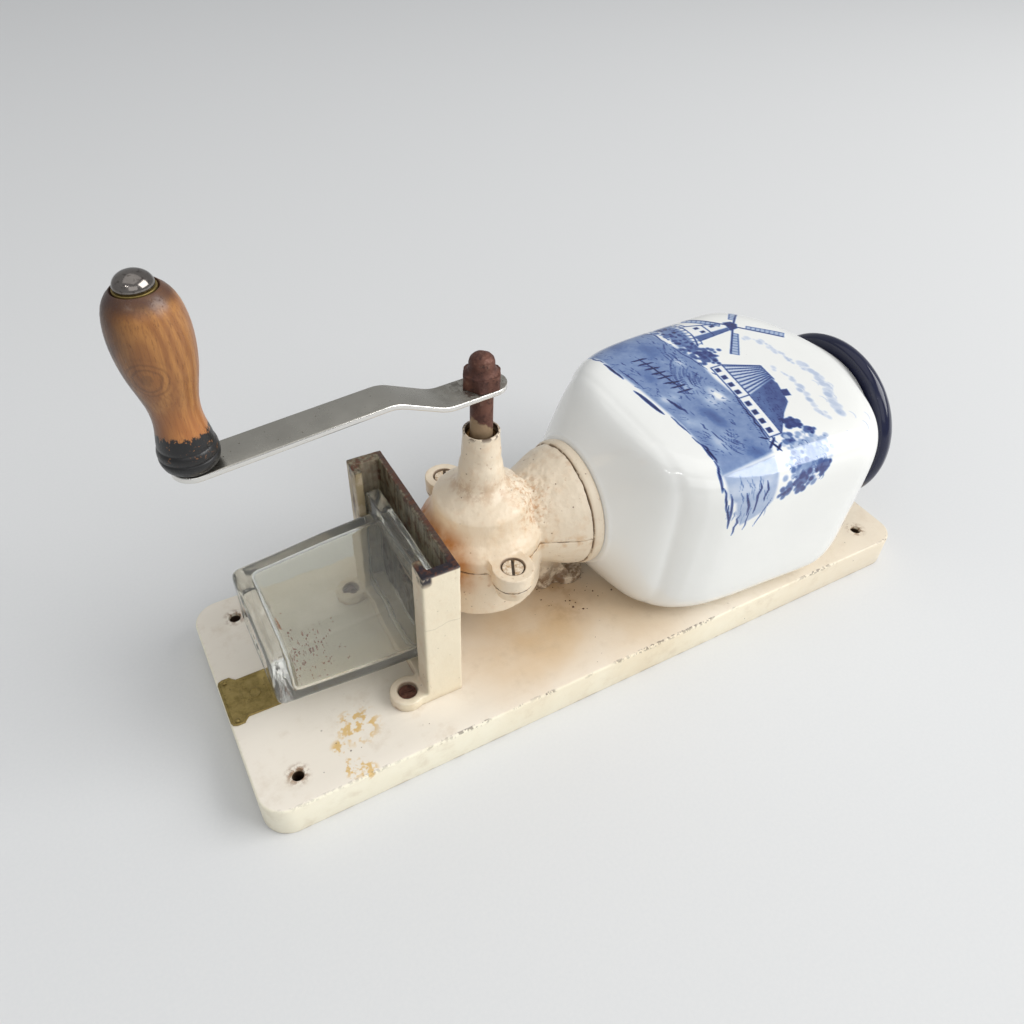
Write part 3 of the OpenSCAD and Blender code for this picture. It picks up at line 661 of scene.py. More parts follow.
def rounded_profile(points, radius=0.5, steps=3):
    """Rounds the corners of an open or closed run of (r, h) points."""
    out = []
    for i, p in enumerate(points):
        p = np.array(p, float)
        if i in (0, len(points) - 1):
            out.append(p)
            continue
        a, b = np.array(points[i - 1], float), np.array(points[i + 1], float)
        la, lb = np.linalg.norm(a - p), np.linalg.norm(b - p)
        cut = min(radius, la * 0.45, lb * 0.45)
        start, end = p + (a - p) / la * cut, p + (b - p) / lb * cut
        for k in range(steps + 1):
            t = k / steps
            out.append((1 - t) ** 2 * start + 2 * t * (1 - t) * p + t * t * end)
    return out


def lathe(name, profile, centre=(0, 0), along="Z", height=0.0, segments=96, closed=False):
    """Turns (r, h) points in millimetres about an axis along Z at (x, y), or along X at (y, z).

    An open profile may start and end on the axis, where it closes in a single point.
    """
    angles = np.arange(segments) * 2 * math.pi / segments
    loops = []
    for r, h in profile:
        a, b = (f(angles) * max(r, 0.001) + mid for f, mid in zip((np.cos, np.sin), centre))
        flat = np.full(segments, h + height)
        loops.append(np.stack([a, b, flat] if along == "Z" else [flat, a, b], 1))
    obj = loft(name, loops, ring=closed)
    if not closed:
        with editing(obj) as edit:
            bmesh.ops.remove_doubles(edit, verts=edit.verts, dist=0.003 * MM)
    return obj


def washer(name, inner, outer, low, high, rounding, segments=72, **place):
    """A flat ring or a sleeve with rounded edges."""
    corners = [(inner, low), (outer, low), (outer, high), (inner, high), (inner, low)]
    profile = rounded_profile(corners, rounding)[:-1]
    return lathe(name, profile, segments=segments, closed=True, **place)


def cad_copy(name, node, voxel, smoothing, lumps, lump_size, rough=None):
    """A softened copy of a CAD node, as an enamelled or rusted casting is.

    The surface stays rougher near a point if rough gives it, as (point, reach, size, height).
    """
    source = frame["nodes"][node]
    obj = bpy.data.objects.new(name, source.data.copy())
    bpy.context.scene.collection.objects.link(obj)
    obj.data.materials.clear()
    with editing(obj) as edit:
        bmesh.ops.remove_doubles(edit, verts=edit.verts, dist=1e-6)
    modify(obj, "REMESH", mode="VOXEL", voxel_size=voxel * MM)
    modify(obj, "SMOOTH", factor=0.5, iterations=smoothing)
    mesh = obj.data
    count = len(mesh.vertices)
    co, normal = np.zeros(count * 3), np.zeros(count * 3)
    mesh.vertices.foreach_get("co", co)
    mesh.vertices.foreach_get("normal", normal)
    co, normal = co.reshape(-1, 3), normal.reshape(-1, 3)
    scale = 1 / (lump_size * MM)
    height = np.array([noise.fractal(Vector(p) * scale, 1.0, 2.0, 3) for p in co])
    move = (np.clip(height, -1.2, 0.6) - 0.6) * lumps * MM * 0.6
    if rough:
        point, reach, size, tall = rough
        near = np.clip(1.3 - np.linalg.norm(co / MM - point, axis=1) / reach, 0, 1)
        for k in np.flatnonzero(near):
            move[k] += near[k] * tall * MM * noise.fractal(Vector(co[k]) / (size * MM), 1.0, 2.0, 3)
    co += normal * move[:, None]
    mesh.vertices.foreach_set("co", co.ravel())
    mesh.update()
    obj.data.shade_smooth()
    return obj


def boolean_cut(obj, cutter):
    """Cuts one closed mesh out of another."""
    modify(obj, "BOOLEAN", operation="DIFFERENCE", solver="EXACT", object=cutter)
    bpy.data.objects.remove(cutter)


def piece(obj, body, look, *nodes):
    """Gives a piece its material, its body and the CAD nodes that it replaces."""
    slot, material = LOOKS[look]
    obj.data.materials.clear()
    obj.data.materials.append(material)
    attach(obj, body)
    if nodes:
        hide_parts(*nodes)


def rounded_rect(half_u, half_v, radius, steps=8, centre=(0, 0)):
    """Points of a rounded rectangle, anticlockwise."""
    out = []
    for k, (su, sv) in enumerate(((1, 1), (-1, 1), (-1, -1), (1, -1))):
        for i in range(steps + 1):
            a = math.pi / 2 * (k + i / steps)
            out.append((
                centre[0] + su * (half_u - radius) + radius * math.cos(a),
                centre[1] + sv * (half_v - radius) + radius * math.sin(a),
            ))
    return out


# ---- board and badge -----------------------------------------------------

def make_board():
    long, wide = BOARD_HALF
    loops = []
    for z, inset in (
        (0, 0.6), (0.3, 0.2), (0.8, 0), (TOP - 1, 0), (TOP - 0.45, 0.2), (TOP - 0.12, 0.6), (TOP, 1.2),
    ):
        outline = rounded_rect(long - inset, wide - inset, BOARD_CORNER - inset, 16)
        loops.append([(x, y, z) for x, y in outline])
    board = loft("board_wood", loops, smooth=False)
    hole = [(0, -1), (2.75, -1), (2.75, TOP - 0.8), (3.4, TOP + 0.4), (3.6, TOP + 1), (0, TOP + 1)]
    for place in SCREW_HOLES:
        boolean_cut(board, lathe("cutter", hole, place, segments=32))
    board.data.shade_smooth()
    modify(board, "EDGE_SPLIT", split_angle=math.radians(40))
    piece(board, "base", "board", "board")


def make_badge():
    (x0, _, z0), (x1, half, z1) = (np.array(corner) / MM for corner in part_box("badge"))
    edge = [
        (x0 + 2.5, 0), (x0 + 6, 0), (x0 + 7.2, 1.5), (x0 + 8.5, 2.6), (x1 - 1, 2.4), (x1, 3.4),
    ]
    corner = [(x0, 2.6), (x0 + 0.7, 0.8)]
    outline = [(x, d - half) for x, d in edge] + [(x, half - d) for x, d in reversed(edge)]
    outline += [(x, half - d) for x, d in reversed(corner)] + [(x, d - half) for x, d in corner]
    n = len(outline)
    verts = [(x, y, z0) for x, y in outline] + [(x, y, z1 - 0.25) for x, y in outline]
    faces = [tuple(reversed(range(n))), tuple(n + i for i in range(n))]
    faces += [(i, (i + 1) % n, n + (i + 1) % n, n + i) for i in range(n)]
    plate = solid("badge_plate", verts, faces, smooth=False)
    with editing(plate) as edit:
        top = max(edit.faces, key=lambda f: f.calc_center_median().z)
        for width, rise in ((0.5, 0.22), (0.45, 0), (0.35, -0.25)):
            bmesh.ops.inset_region(edit, faces=[top], thickness=width * MM, depth=rise * MM)
    modify(plate, "BEVEL", width=0.08 * MM, segments=2)
    piece(plate, "base", "brass", "badge")
    # plain raised bars and a ring, with no lettering
    cx = (x0 + x1) / 2 + 1
    for k, (x, length) in enumerate(((cx - 6, 9), (cx + 6, 13), (cx + 8.6, 8))):
        loops = []
        for z, inset in ((z1 - 0.3, 0), (z1 - 0.08, 0), (z1 - 0.02, 0.15)):
            bar = rounded_rect(0.55 - inset, length / 2 - inset, 0.5 - inset * 0.9, 4, (x, 0))
            loops.append([(u, v, z) for u, v in bar])
        piece(loft(f"badge_bar_{k}", loops), "base", "brass")
    relief = [(2.2, z1 - 0.3), (2.2, z1 - 0.05), (2.5, z1 - 0.02), (2.9, z1 - 0.05), (2.9, z1 - 0.3)]
    ring = lathe("badge_ring", relief, (cx, 0), segments=48, closed=True)
    piece(ring, "base", "brass")
    profile = [
        (0, z0 + 0.1), (0.66, z0 + 0.1), (0.66, z1), (1.2, z1 + 0.02), (1.15, z1 + 0.2),
        (0.85, z1 + 0.4), (0.4, z1 + 0.48), (0, z1 + 0.5),
    ]
    for k, (dx, y) in enumerate(((3.2, 11.5), (3.2, -11.5), (24, 8.5), (24, -8.5))):
        pin = lathe(f"badge_pin_{k}", profile, (x0 + dx, y), segments=24)
        piece(pin, "base", "brass", *(["badge_pins"] if k == 0 else []))


# ---- castings ------------------------------------------------------------

def make_castings():
    # the cover is rougher where the dome meets the neck
    lumpy_dome = ((-35, -6, 91), 17, 4.5, 1.0)
    for name, node, look, softening in (
        ("rear_casting", "rear_housing", "mill", (0.62, 4, 0.3, 7)),
        ("cover_casting", "front_cover", "mill", (0.55, 4, 0.5, 6, lumpy_dome)),
        ("bracket_casting", "cup_bracket", "bracket", (0.6, 3, 0.25, 9)),
        ("cover_screw_pair", "cover_screws", "screw", (0.25, 3, 0.15, 3)),
        ("bracket_screw_pair", "bracket_screws", "rust", (0.25, 2, 0.2, 2)),
    ):
        piece(cad_copy(name, node, *softening), "base", look, node)
    lo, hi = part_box("neck_collar")
    x0, x1, r = lo.x / MM, hi.x / MM, hi.y / MM
    profile = rounded_profile([
        (28.1, x0 + 0.05), (r - 1, x0 + 0.05), (r - 0.15, x0 + 1.2), (r - 0.1, x1 - 1.4),
        (r - 0.9, x1 - 0.1), (28.1, x1 - 0.1), (28.1, x0 + 0.05),
    ], 0.7)
    collar = lathe("collar_ring", profile[:-1], (0, AXIS_Z), "X", segments=160, closed=True)
    piece(collar, "base", "collar", "neck_collar")


# ---- hopper and lid ------------------------------------------------------

CREASE = 19.5
# x, half width, half height and squareness; dome and body meet in the crease
DOME = [
    (-3, 33, 33, 2), (0, 36.5, 36.6, 2.05), (4, 40.6, 41, 2.25), (8, 43.8, 44.9, 2.65),
    (12, 46.3, 47.9, 3.3), (16, 48.2, 49.7, 4.1), (CREASE, 49.5, 50.2, 4.8),
]
BODY = [
    (CREASE, 49.5, 50.2, 4.8), (22, 52, 50.7, 5), (25.5, 54.6, 50.9, 5.2), (30, 57, 50.9, 5.6),
    (42, 60.6, 50.7, 6.4), (60, 62.5, 50.5, 7.2), (85, 63.8, 50.4, 7.4), (108, 65.1, 50.4, 7.4),
    (118, 65.3, 50.4, 7.1), (126, 63.9, 50.4, 6.2), (132, 61.1, 50.4, 5.2), (138, 57.3, 50.3, 4.2),
    (143, 53.9, 49.7, 3.2), (147, 51, 48.8, 2.6), (152, 47.2, 46.6, 2.15), (157, 43.3, 43.3, 2),
    (159.5, 41.4, 41.4, 2),
]
# the hopper's body stands a little to one side of its neck, and is turned about it
LEAN, TURN = 3.4, math.radians(2.9)
# the stretch of the body that the landscape covers, and how fine its mesh is
PICTURE = (-70.0, 104.0)
PAINT_STEP = 0.5


def spline(table, x):
    """Catmull-Rom through a table of stations."""
    table = np.array(table, float)
    xs = table[:, 0]
    k = int(np.clip(np.searchsorted(xs, x) - 1, 0, len(xs) - 2))
    h = xs[k + 1] - xs[k]
    t = (x - xs[k]) / h

    def slope(i):
        a, b = max(i - 1, 0), min(i + 1, len(xs) - 1)
        return (table[b] - table[a]) / (xs[b] - xs[a])

    m0, m1 = slope(k) * h, slope(k + 1) * h
    return ((2 * t**3 - 3 * t**2 + 1) * table[k] + (t**3 - 2 * t**2 + t) * m0
            + (-2 * t**3 + 3 * t**2) * table[k + 1] + (t**3 - t**2) * m1)


def hopper_station(x):
    """Half width, half height and squareness, averaged over a short stretch to soften the crease."""
    places = np.clip(x + np.linspace(-1.2, 1.2, 7), DOME[0][0], BODY[-1][0])
    return np.mean([spline(DOME if v < CREASE else BODY, v)[1:] for v in places], 0)


def about_neck(x, y, z):
    """Points of the hopper, leaning and turned with it."""
    t = min(max((x - DOME[0][0]) / 20, 0), 1)
    y = y - LEAN * t * t * (3 - 2 * t)
    c, s = math.cos(TURN), math.sin(TURN)
    return np.stack([np.full(len(y), x), y * c - z * s, AXIS_Z + y * s + z * c], 1)


def hopper_loop(x, angles, inset=0.0):
    """A loop round the hopper's body, kept just inside its CAD shape."""
    wide, high, power = hopper_station(x)
    c, s = np.cos(angles), np.sin(angles)
    inset += 0.08
    r = ((np.abs(c) / (wide - inset)) ** power + (np.abs(s) / (high - inset)) ** power) ** (-1 / power)
    return about_neck(x, r * c, r * s)


def round_loop(x, radius, angles):
    """A loop round the hopper's neck or mouth."""
    return about_neck(x, radius * np.cos(angles), radius * np.sin(angles))


def hopper_columns():
    """Where the hopper's columns run: u along the body, right of the picture, and their angles.

    u is 0 at the middle of the front face. The ring is dense only where the landscape is.
    """
    middle_x, coarse = 70, 1.9
    reference = np.linspace(-math.pi, math.pi, 20001)
    steps = np.linalg.norm(np.diff(hopper_loop(middle_x, reference), axis=0), axis=1)
    length = np.concatenate([[0], np.cumsum(steps)])
    u_all = length - np.interp(math.pi / 2, reference, length)
    total = length[-1]
    rest = total - (PICTURE[1] - PICTURE[0])
    u_rest = PICTURE[1] + np.linspace(0, rest, int(rest / coarse), endpoint=False)
    u = np.concatenate([np.arange(*PICTURE, PAINT_STEP), u_rest])
    return u, np.interp(np.where(u > u_all[-1], u - total, u), u_all, reference)


def make_hopper():
    u, angles = hopper_columns()
    xs_outer = np.concatenate([
        np.linspace(-3, 17.5, 24), np.arange(18, 27, 0.5), np.arange(27, 140, PAINT_STEP),
        np.linspace(140.5, 159.3, 22),
    ])
    loops = [hopper_loop(x, angles) for x in xs_outer]
    # the mouth's rounded rim, then the inside, and the neck's end last
    for a in np.linspace(0.3, math.pi - 0.25, 8):
        loops.append(round_loop(159.35 + 1.55 * math.sin(a), 38.4 + 2.95 * math.cos(a), angles))
    wall = 5.0
    inside = (158, 152, 147, 138, 126, 108, 70, 42, 30, 24, 18, 13, 8, 5)
    loops += [hopper_loop(x, angles, wall) for x in inside]
    neck = (
        (4, 33), (3.6, 28), (3, 23.5), (1.5, 21.5), (-7.7, 21.4), (-7.9, 21.8), (-7.9, 24.9),
        (-7.7, 25.3), (-3.3, 25.3), (-3.05, 27),
    )
    loops += [round_loop(x, r, angles) for x, r in neck]
    hopper = loft("hopper_vessel", loops, ring=True)
    paint = paint_landscape(u, xs_outer)
    values = np.zeros(len(hopper.data.vertices), np.float32)
    values[: paint.size] = paint.ravel()
    hopper.data.attributes.new("paint", "FLOAT", "POINT").data.foreach_set("value", values)
    piece(hopper, "base", "glaze", "hopper")


def make_lid():
    lo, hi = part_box("lid")
    middle = ((lo.y + hi.y) / 2 / MM, (lo.z + hi.z) / 2 / MM)
    seat, r = hi.x / MM - 18.1, hi.y / MM - middle[0]
    profile = rounded_profile([
        (31, -9), (33.6, -9), (34.4, -8), (34.4, 0.05), (46.4, 0.05), (47.6, 2.3), (r - 0.03, 4.3),
        (r - 0.9, 6.9), (45.8, 8.9), (43.2, 10.5), (40, 12.5), (36, 13.9), (31, 15.3), (26, 16.4),
        (20, 17.15), (13, 17.7), (6, 18), (0, 18.08),
    ], 0.9)
    inside = [(0, 13.1), (25, 11.4), (31, 5.9)]
    lid = lathe("lid_cap", inside + profile, middle, "X", height=seat, segments=160)
    piece(lid, "lid", "lid", "lid")


# ---- painted landscape ---------------------------------------------------

def beside(u, v, a, b):
    """How far along the line from a to b each point lies, 0 to 1, and its distance from it."""
    d = b - a
    t = np.clip(((u - a[0]) * d[0] + (v - a[1]) * d[1]) / max(d @ d, 1e-9), 0, 1)
    return t, np.hypot(u - a[0] - t * d[0], v - a[1] - t * d[1])


class Painter:
    """Paints a density of 0 to 1 on a grid of surface points: u to the right, v up, in millimetres."""

    def __init__(self, u, v):
        self.u, self.v = np.meshgrid(u, v)
        self.tone = np.zeros_like(self.u)

    def window(self, points, margin):
        points = np.asarray(points, float)
        u0, v0 = points.min(0) - margin
        u1, v1 = points.max(0) + margin
        return (self.u > u0) & (self.u < u1) & (self.v > v0) & (self.v < v1)

    def stroke(self, points, width, tone, taper=True):
        points = np.asarray(points, float)
        near = self.window(points, width + 1)
        if not near.any():
            return
        u, v = self.u[near], self.v[near]
        best = np.full(u.shape, 1e9)
        count = len(points) - 1
        for k in range(count):
            t, away = beside(u, v, points[k], points[k + 1])
            along = (k + t) / count
            bulge = np.sqrt(np.clip(1 - (2 * along - 1) ** 2, 0.05, 1)) if taper else 1
            best = np.minimum(best, away - width / 2 * bulge)
        self.lay(near, np.clip(0.5 - best / 0.55, 0, 1), tone, "max")

    def fill(self, points, tone, soft=0.5, mode="max"):
        points = np.asarray(points, float)
        near = self.window(points, soft + 1)
        if not near.any():
            return
        u, v = self.u[near], self.v[near]
        inside = np.zeros(u.shape, bool)
        best = np.full(u.shape, 1e9)
        for a, b in zip(points, np.roll(points, -1, 0)):
            crosses = (a[1] > v) != (b[1] > v)
            with np.errstate(divide="ignore", invalid="ignore"):
                at = a[0] + (v - a[1]) / (b[1] - a[1]) * (b[0] - a[0])
            inside ^= crosses & (u < at)
            best = np.minimum(best, beside(u, v, a, b)[1])
        signed = np.where(inside, -best, best)
        self.lay(near, np.clip(0.5 - signed / (2 * soft), 0, 1), tone, mode)

    def disc(self, centre, radius, tone, soft=0.5, mode="max", squash=1.0):
        near = self.window([centre], radius + soft + 1)
        away = np.hypot(self.u[near] - centre[0], (self.v[near] - centre[1]) / squash) - radius
        self.lay(near, np.clip(0.5 - away / (2 * soft), 0, 1), tone, mode)

    def curl(self, centre, size, turn, width, tone):
        """Part of an ellipse."""
        points = np.stack([np.cos(turn) * size[0], np.sin(turn) * size[1]], 1) + centre
        self.stroke(points, width, tone)

    def lay(self, near, cover, tone, mode):
        if mode == "max":
            self.tone[near] = np.maximum(self.tone[near], cover * tone)
        elif mode == "over":
            self.tone[near] += (tone - self.tone[near]) * cover
        else:
            self.tone[near] = np.clip(self.tone[near] + cover * tone, 0, 1)


def wobble(a, b, amount, count=6):
    """A slightly unsteady line from a to b."""
    a, b = np.asarray(a, float), np.asarray(b, float)
    t = np.linspace(0, 1, count)[:, None]
    line = a + (b - a) * t
    line[1:-1] += rng.normal(0, amount, (count - 2, 2))
    return line


def somewhere(u_range, v_range):
    """A random point of the picture."""
    return np.array([rng.uniform(*u_range), rng.uniform(*v_range)])


# the near edge of the water
SHORE = [
    (-64, 30), (-51, 31.5), (-41, 33), (-31, 33), (-21, 34.5), (-10, 36), (8, 37.5), (19, 38),
    (35, 37.5), (42, 38), (54, 36.5),
]


def paint_water(p):
    """Water and meadow washes with ripples, painted paler where they run over the near edge, as a painted
    window reflection.
    """
    far = [
        (51, 66), (45, 69), (38, 72), (28, 75), (18, 77), (11, 76.5), (-4, 76), (-13, 77), (-25, 77.5),
        (-39, 73), (-64, 70),
    ]
    p.fill(SHORE + far, 0.46, 1.0)
    # the wash over the near edge is painted paler, and a strip in it paler still: a painted reflection of a
    # window
    pale_reflection_wash = [(53.5, 37), (66, 38), (70, 42), (80, 44), (86, 48), (82, 58), (76, 63), (64, 64), (53, 66)]
    p.fill(pale_reflection_wash, 0.3, 0.8)
    p.fill([(60, 38), (66, 39), (67, 58), (61, 62)], -0.08, 1.6, "add")
    for u, v, size, change in (
        (-50, 44, 12, 0.1), (-20, 44, 10, 0.08), (24, 56, 9, 0.1), (-34, 62, 12, 0.07),
        (36, 46, 9, -0.12), (6, 66, 9, -0.16), (20, 43, 8, -0.2), (-4, 58, 8, -0.1),
        (10, 70, 6, -0.12), (-22, 66, 7, -0.1), (0, 42, 6, -0.2), (47, 60, 8, 0.08),
    ):
        for _ in range(5):
            spot = np.add((u, v), rng.normal(0, size * 0.4, 2))
            if spot[1] - size * 0.45 > 38:
                p.disc(spot, size * 0.45, change * 0.8, size * 0.4, "add", 0.6)
    for _ in range(90):
        a = somewhere((-62, 46), (40, 73))
        line = wobble(a, a + (rng.uniform(1.5, 6), rng.normal(0, 0.6)), 0.25, 4)
        p.stroke(line, rng.uniform(0.4, 0.8), rng.uniform(0.74, 0.95))
    for u, v, first, count, begin in ((2, 74, 7, 24, 3.3), (30, 60, 5, 16, 4.4), (-28, 76, 6, 12, 3.6)):
        for k in range(count):
            r = first + k * 0.85
            start = begin + rng.uniform(0, 0.9)
            turn = np.linspace(start, start + rng.uniform(0.3, 0.9), 8)
            p.curl((u, v), (r * 1.2, r * 0.75), turn, rng.uniform(0.4, 0.8), rng.uniform(0.78, 1))


def paint_shore(p):
    """Dark strokes along the lower edge, and reeds that hang over the near side."""
    for a, b, width in (
        ((-52, 31), (-39, 32.4), 0.8), ((-38, 32), (-22, 33.2), 1.6), ((-12, 32.4), (9, 35), 2.3),
        ((-30, 36), (-12, 38), 0.9), ((0, 43.5), (13, 46), 1.9), ((12, 37), (26, 37.6), 0.8),
        ((28, 37), (44, 37), 0.9), ((34, 38.6), (47, 37.6), 1.5), ((45, 37), (62, 35.2), 1.3),
        ((60, 36), (74, 38), 1.0), ((70, 38.5), (86, 41), 1.1),
    ):
        p.stroke(wobble(a, b, 0.3), width, rng.uniform(0.88, 1))
    for _ in range(60):
        a = np.array([rng.uniform(-54, 44), 0.0])
        a[1] = np.interp(a[0], *zip(*SHORE)) + rng.uniform(-0.6, 6)
        line = wobble(a, a + (rng.normal(1.4, 1.4), rng.uniform(1, 3.6)), 0.2, 4)
        p.stroke(line, 0.5, rng.uniform(0.7, 0.95))
    for a, b, width in (
        ((64, 39), (84, 40.5), 1.2), ((66, 47), (80, 49.5), 1.5), ((62, 54), (80, 53), 1.4),
        ((63, 58), (74, 57.6), 1.2), ((78, 46), (92, 44.5), 1.0), ((76, 51), (90, 50), 0.8),
        ((74, 62), (90, 56), 0.8),
    ):
        p.stroke(wobble(a, b, 0.5), width, rng.uniform(0.75, 0.95))
    for _ in range(30):
        a = somewhere((54, 78), (40, 62))
        line = wobble(a, a + (rng.uniform(3, 9), rng.normal(0, 1)), 0.4, 5)
        p.stroke(line, rng.uniform(0.4, 0.9), rng.uniform(0.28, 0.66))


def paint_meadow(p):
    """A fence and tufts in the meadow, the far shore and the quay along the barn."""
    post = np.array((-33.0, 45.5))
    for k in range(8):
        p.stroke(wobble(post, post + (rng.normal(0.8, 0.8), 9.5), 0.2, 4), 1.5, 1)
        if k % 2:
            p.stroke([post + (0.4, 1.4), post + (4.4, 8)], 0.8, 0.95)
        post += (4.4, 0.8)
    p.stroke(wobble((-36, 50), (2, 57), 0.3, 9), 1.2, 1)
    for _ in range(60):
        a = somewhere((-40, 40), (52, 74))
        for _ in range(3):
            p.stroke([a, a + (rng.normal(0, 1.0), rng.uniform(0.8, 2))], 0.45, rng.uniform(0.66, 0.9))
    for a, b, unsteady, points, width, tone in (
        ((-64, 70), (-39, 73), 0.4, 6, 1.1, 0.85), ((-38, 73), (-12, 77.5), 0.4, 6, 1.0, 0.85),
        ((10, 76.5), (45, 69), 0.3, 12, 1.2, 0.95), ((14, 74.5), (50, 66), 0.3, 12, 0.6, 0.8),
    ):
        p.stroke(wobble(a, b, unsteady, points), width, tone)
    for line in (((44, 73), (49, 66)), ((44, 70), (41, 66)), ((45, 69), (52, 71)), ((48, 74), (51, 69))):
        p.stroke(line, 1.3, 1)
    for _ in range(50):
        a = somewhere((-62, -8), (64, 78))
        line = wobble(a, a + (rng.uniform(1, 4), rng.normal(0.6, 0.8)), 0.2, 4)
        p.stroke(line, 0.6, rng.uniform(0.6, 0.95))


def paint_barn(p):
    """Pale wall with windows, hatched gable, dark roof and chimney."""
    foot_l, foot_m, foot_r = (-12, 80), (14, 76.5), (43, 70.5)
    wall_l, wall_m, wall_r = (-12, 87), (14, 83.5), (43, 78)
    p.fill([foot_l, foot_m, foot_r, wall_r, wall_m, wall_l], 0.03, 0.3, "over")
    p.fill([wall_l, (-3, 105), (8, 103), wall_m], 0.2, 0.4)
    for k in range(9):
        t = (k + 0.4) / 9
        p.stroke([(-12 + 26 * t, 87 - 3.5 * t), (-3 + 11 * t, 105 - 2 * t)], 1.1, 0.78, False)
    p.fill([wall_m, (8, 103), (12, 102.5), (26, 97), (32, 89), wall_r], 0.74, 0.5, "over")
    p.fill([wall_m, (11, 92), (36, 84), wall_r], -0.12, 2, "add")
    for _ in range(46):
        t, w = rng.uniform(0, 1), rng.uniform(0.05, 0.95)
        a = np.array((14 + 29 * t, 83.5 - 5.5 * t)) * (1 - w) + np.array((8 + 24 * t, 103 - 14 * t)) * w
        p.stroke([a, a + (1.8, -0.7)], 0.6, 0.95, False)
    p.fill([(17, 100), (22, 98.4), (23, 102.4), (18, 104)], 0.88, 0.3)
    for line in (
        (foot_l, foot_m, foot_r), (foot_l, wall_l), (foot_m, wall_m), (foot_r, wall_r),
        (wall_l, (-3, 105), (9, 103.5)), ((12, 102.5), (26, 97), (32, 89), wall_r),
        (wall_l, (14, 83.3), wall_r),
    ):
        p.stroke(line, 0.7, 0.9, False)
    for first, step, window, tone in (
        ((-10.5, 80.8), (6.2, -0.85), ((0, 0), (3.2, -0.4), (3.2, 2.6), (0, 3)), 0.92),
        ((17.5, 77), (6.6, -1.35), ((0, 0), (3.4, -0.7), (3.4, 2.2), (0, 2.9)), 0.95),
    ):
        for k in range(4):
            p.fill(np.array(window) + first + np.multiply(step, k), tone, 0.3)


def paint_trees(p):
    """Dark trees beside the barn, pale and tall ones towards the right."""
    for u, v, spread, count, low_tone, high_tone in (
        (-22, 84, 6.5, 80, 0.62, 0.92), (-30, 80, 4, 24, 0.5, 0.8), (39, 88, 3.4, 40, 0.75, 0.98),
        (47, 93, 2.6, 14, 0.6, 0.95), (48, 80, 4, 16, 0.55, 0.85), (56, 82, 8, 120, 0.22, 0.46),
        (64, 80, 8, 120, 0.26, 0.56), (70, 78, 5, 50, 0.6, 0.9), (66, 90, 3.4, 30, 0.62, 0.9),
        (57, 91, 6, 60, 0.2, 0.42), (73, 70, 3.4, 22, 0.5, 0.85),
    ):
        for _ in range(count):
            place = rng.normal(0, 0.5, 2) * spread + (u, v)
            radius, tone = rng.uniform(0.7, 1.8), rng.uniform(low_tone, high_tone)
            p.disc(place, radius, tone, 0.5, "over" if rng.random() < 0.5 else "max")
    for _ in range(30):
        place = somewhere((48, 72), (70, 92))
        p.curl(place, (1.6, 1.4), np.linspace(0, 4.4, 9), 0.5, rng.uniform(0.5, 0.85))


def paint_windmill(p):
    """The windmill on its gallery, with cottages at the left."""
    p.fill([(-58, 78), (-33, 76), (-31, 86), (-46, 88), (-58, 86)], 0.5, 1)
    for _ in range(60):
        p.disc(somewhere((-60, -30), (74, 86)), rng.uniform(0.6, 1.6), rng.uniform(0.5, 0.92), 0.4)

    def gallery(t):
        return np.array((-58 + 27 * t, 86.5 + 4 * math.sin(math.pi * t)))

    for lift, width in ((0, 0.9), (3, 0.55)):
        p.stroke([gallery(t) + (0, lift) for t in np.linspace(0, 1, 12)], width, 0.9, False)
    for t in np.linspace(0.03, 0.97, 10):
        p.stroke([gallery(t), gallery(t) + (0, 3)], 0.5, 0.85, False)
        p.stroke([gallery(t), gallery(t) + (-1.5, -7)], 0.6, 0.85, False)
    p.fill([(-50, 91), (-34, 90), (-36, 112), (-42, 114)], 0.03, 0.3, "over")
    p.fill([(-38.6, 90), (-34, 90), (-36, 112), (-38.4, 113)], 0.66, 0.5, "over")
    for line in (((-50, 91), (-42, 114)), ((-34, 90), (-36, 112)), ((-46.5, 101), (-35.5, 101))):
        p.stroke(line, 0.8, 0.9, False)
    for x, y in ((-46, 95), (-44, 104), (-41.6, 96)):
        p.fill([(x, y), (x + 2, y), (x + 2, y + 2.8), (x, y + 2.8)], 0.92, 0.3)
    p.fill([(-43.5, 113.5), (-35, 112), (-35.5, 117), (-39, 119.5), (-42.5, 118)], 0.85, 0.4)
    hub = np.array((-38.0, 116.0))
    for angle in (44, -42, 134, 222):
        out = np.array((math.cos(math.radians(angle)), math.sin(math.radians(angle))))
        side = np.array((-out[1], out[0]))
        root, tip = hub + out * 7, hub + out * 27
        p.fill([root, tip, tip + side * 4.2, root + side * 3], 0.3, 0.4)
        p.stroke([hub, tip], 1.0, 0.92, False)
        for k in range(9):
            slat = root + out * 2.5 * k
            p.stroke([slat, slat + side * (3 + 0.14 * k)], 0.5, 0.82, False)
        p.stroke([root + side * 3, tip + side * 4.2], 0.6, 0.88, False)
    for x in (-68, -62):
        p.fill([(x - 2, 74), (x + 3, 74), (x + 3, 79), (x - 2, 79)], 0.1, 0.3, "over")
        p.fill([(x - 3, 79), (x + 4, 79), (x + 1, 84), (x - 1, 84)], 0.75, 0.4)


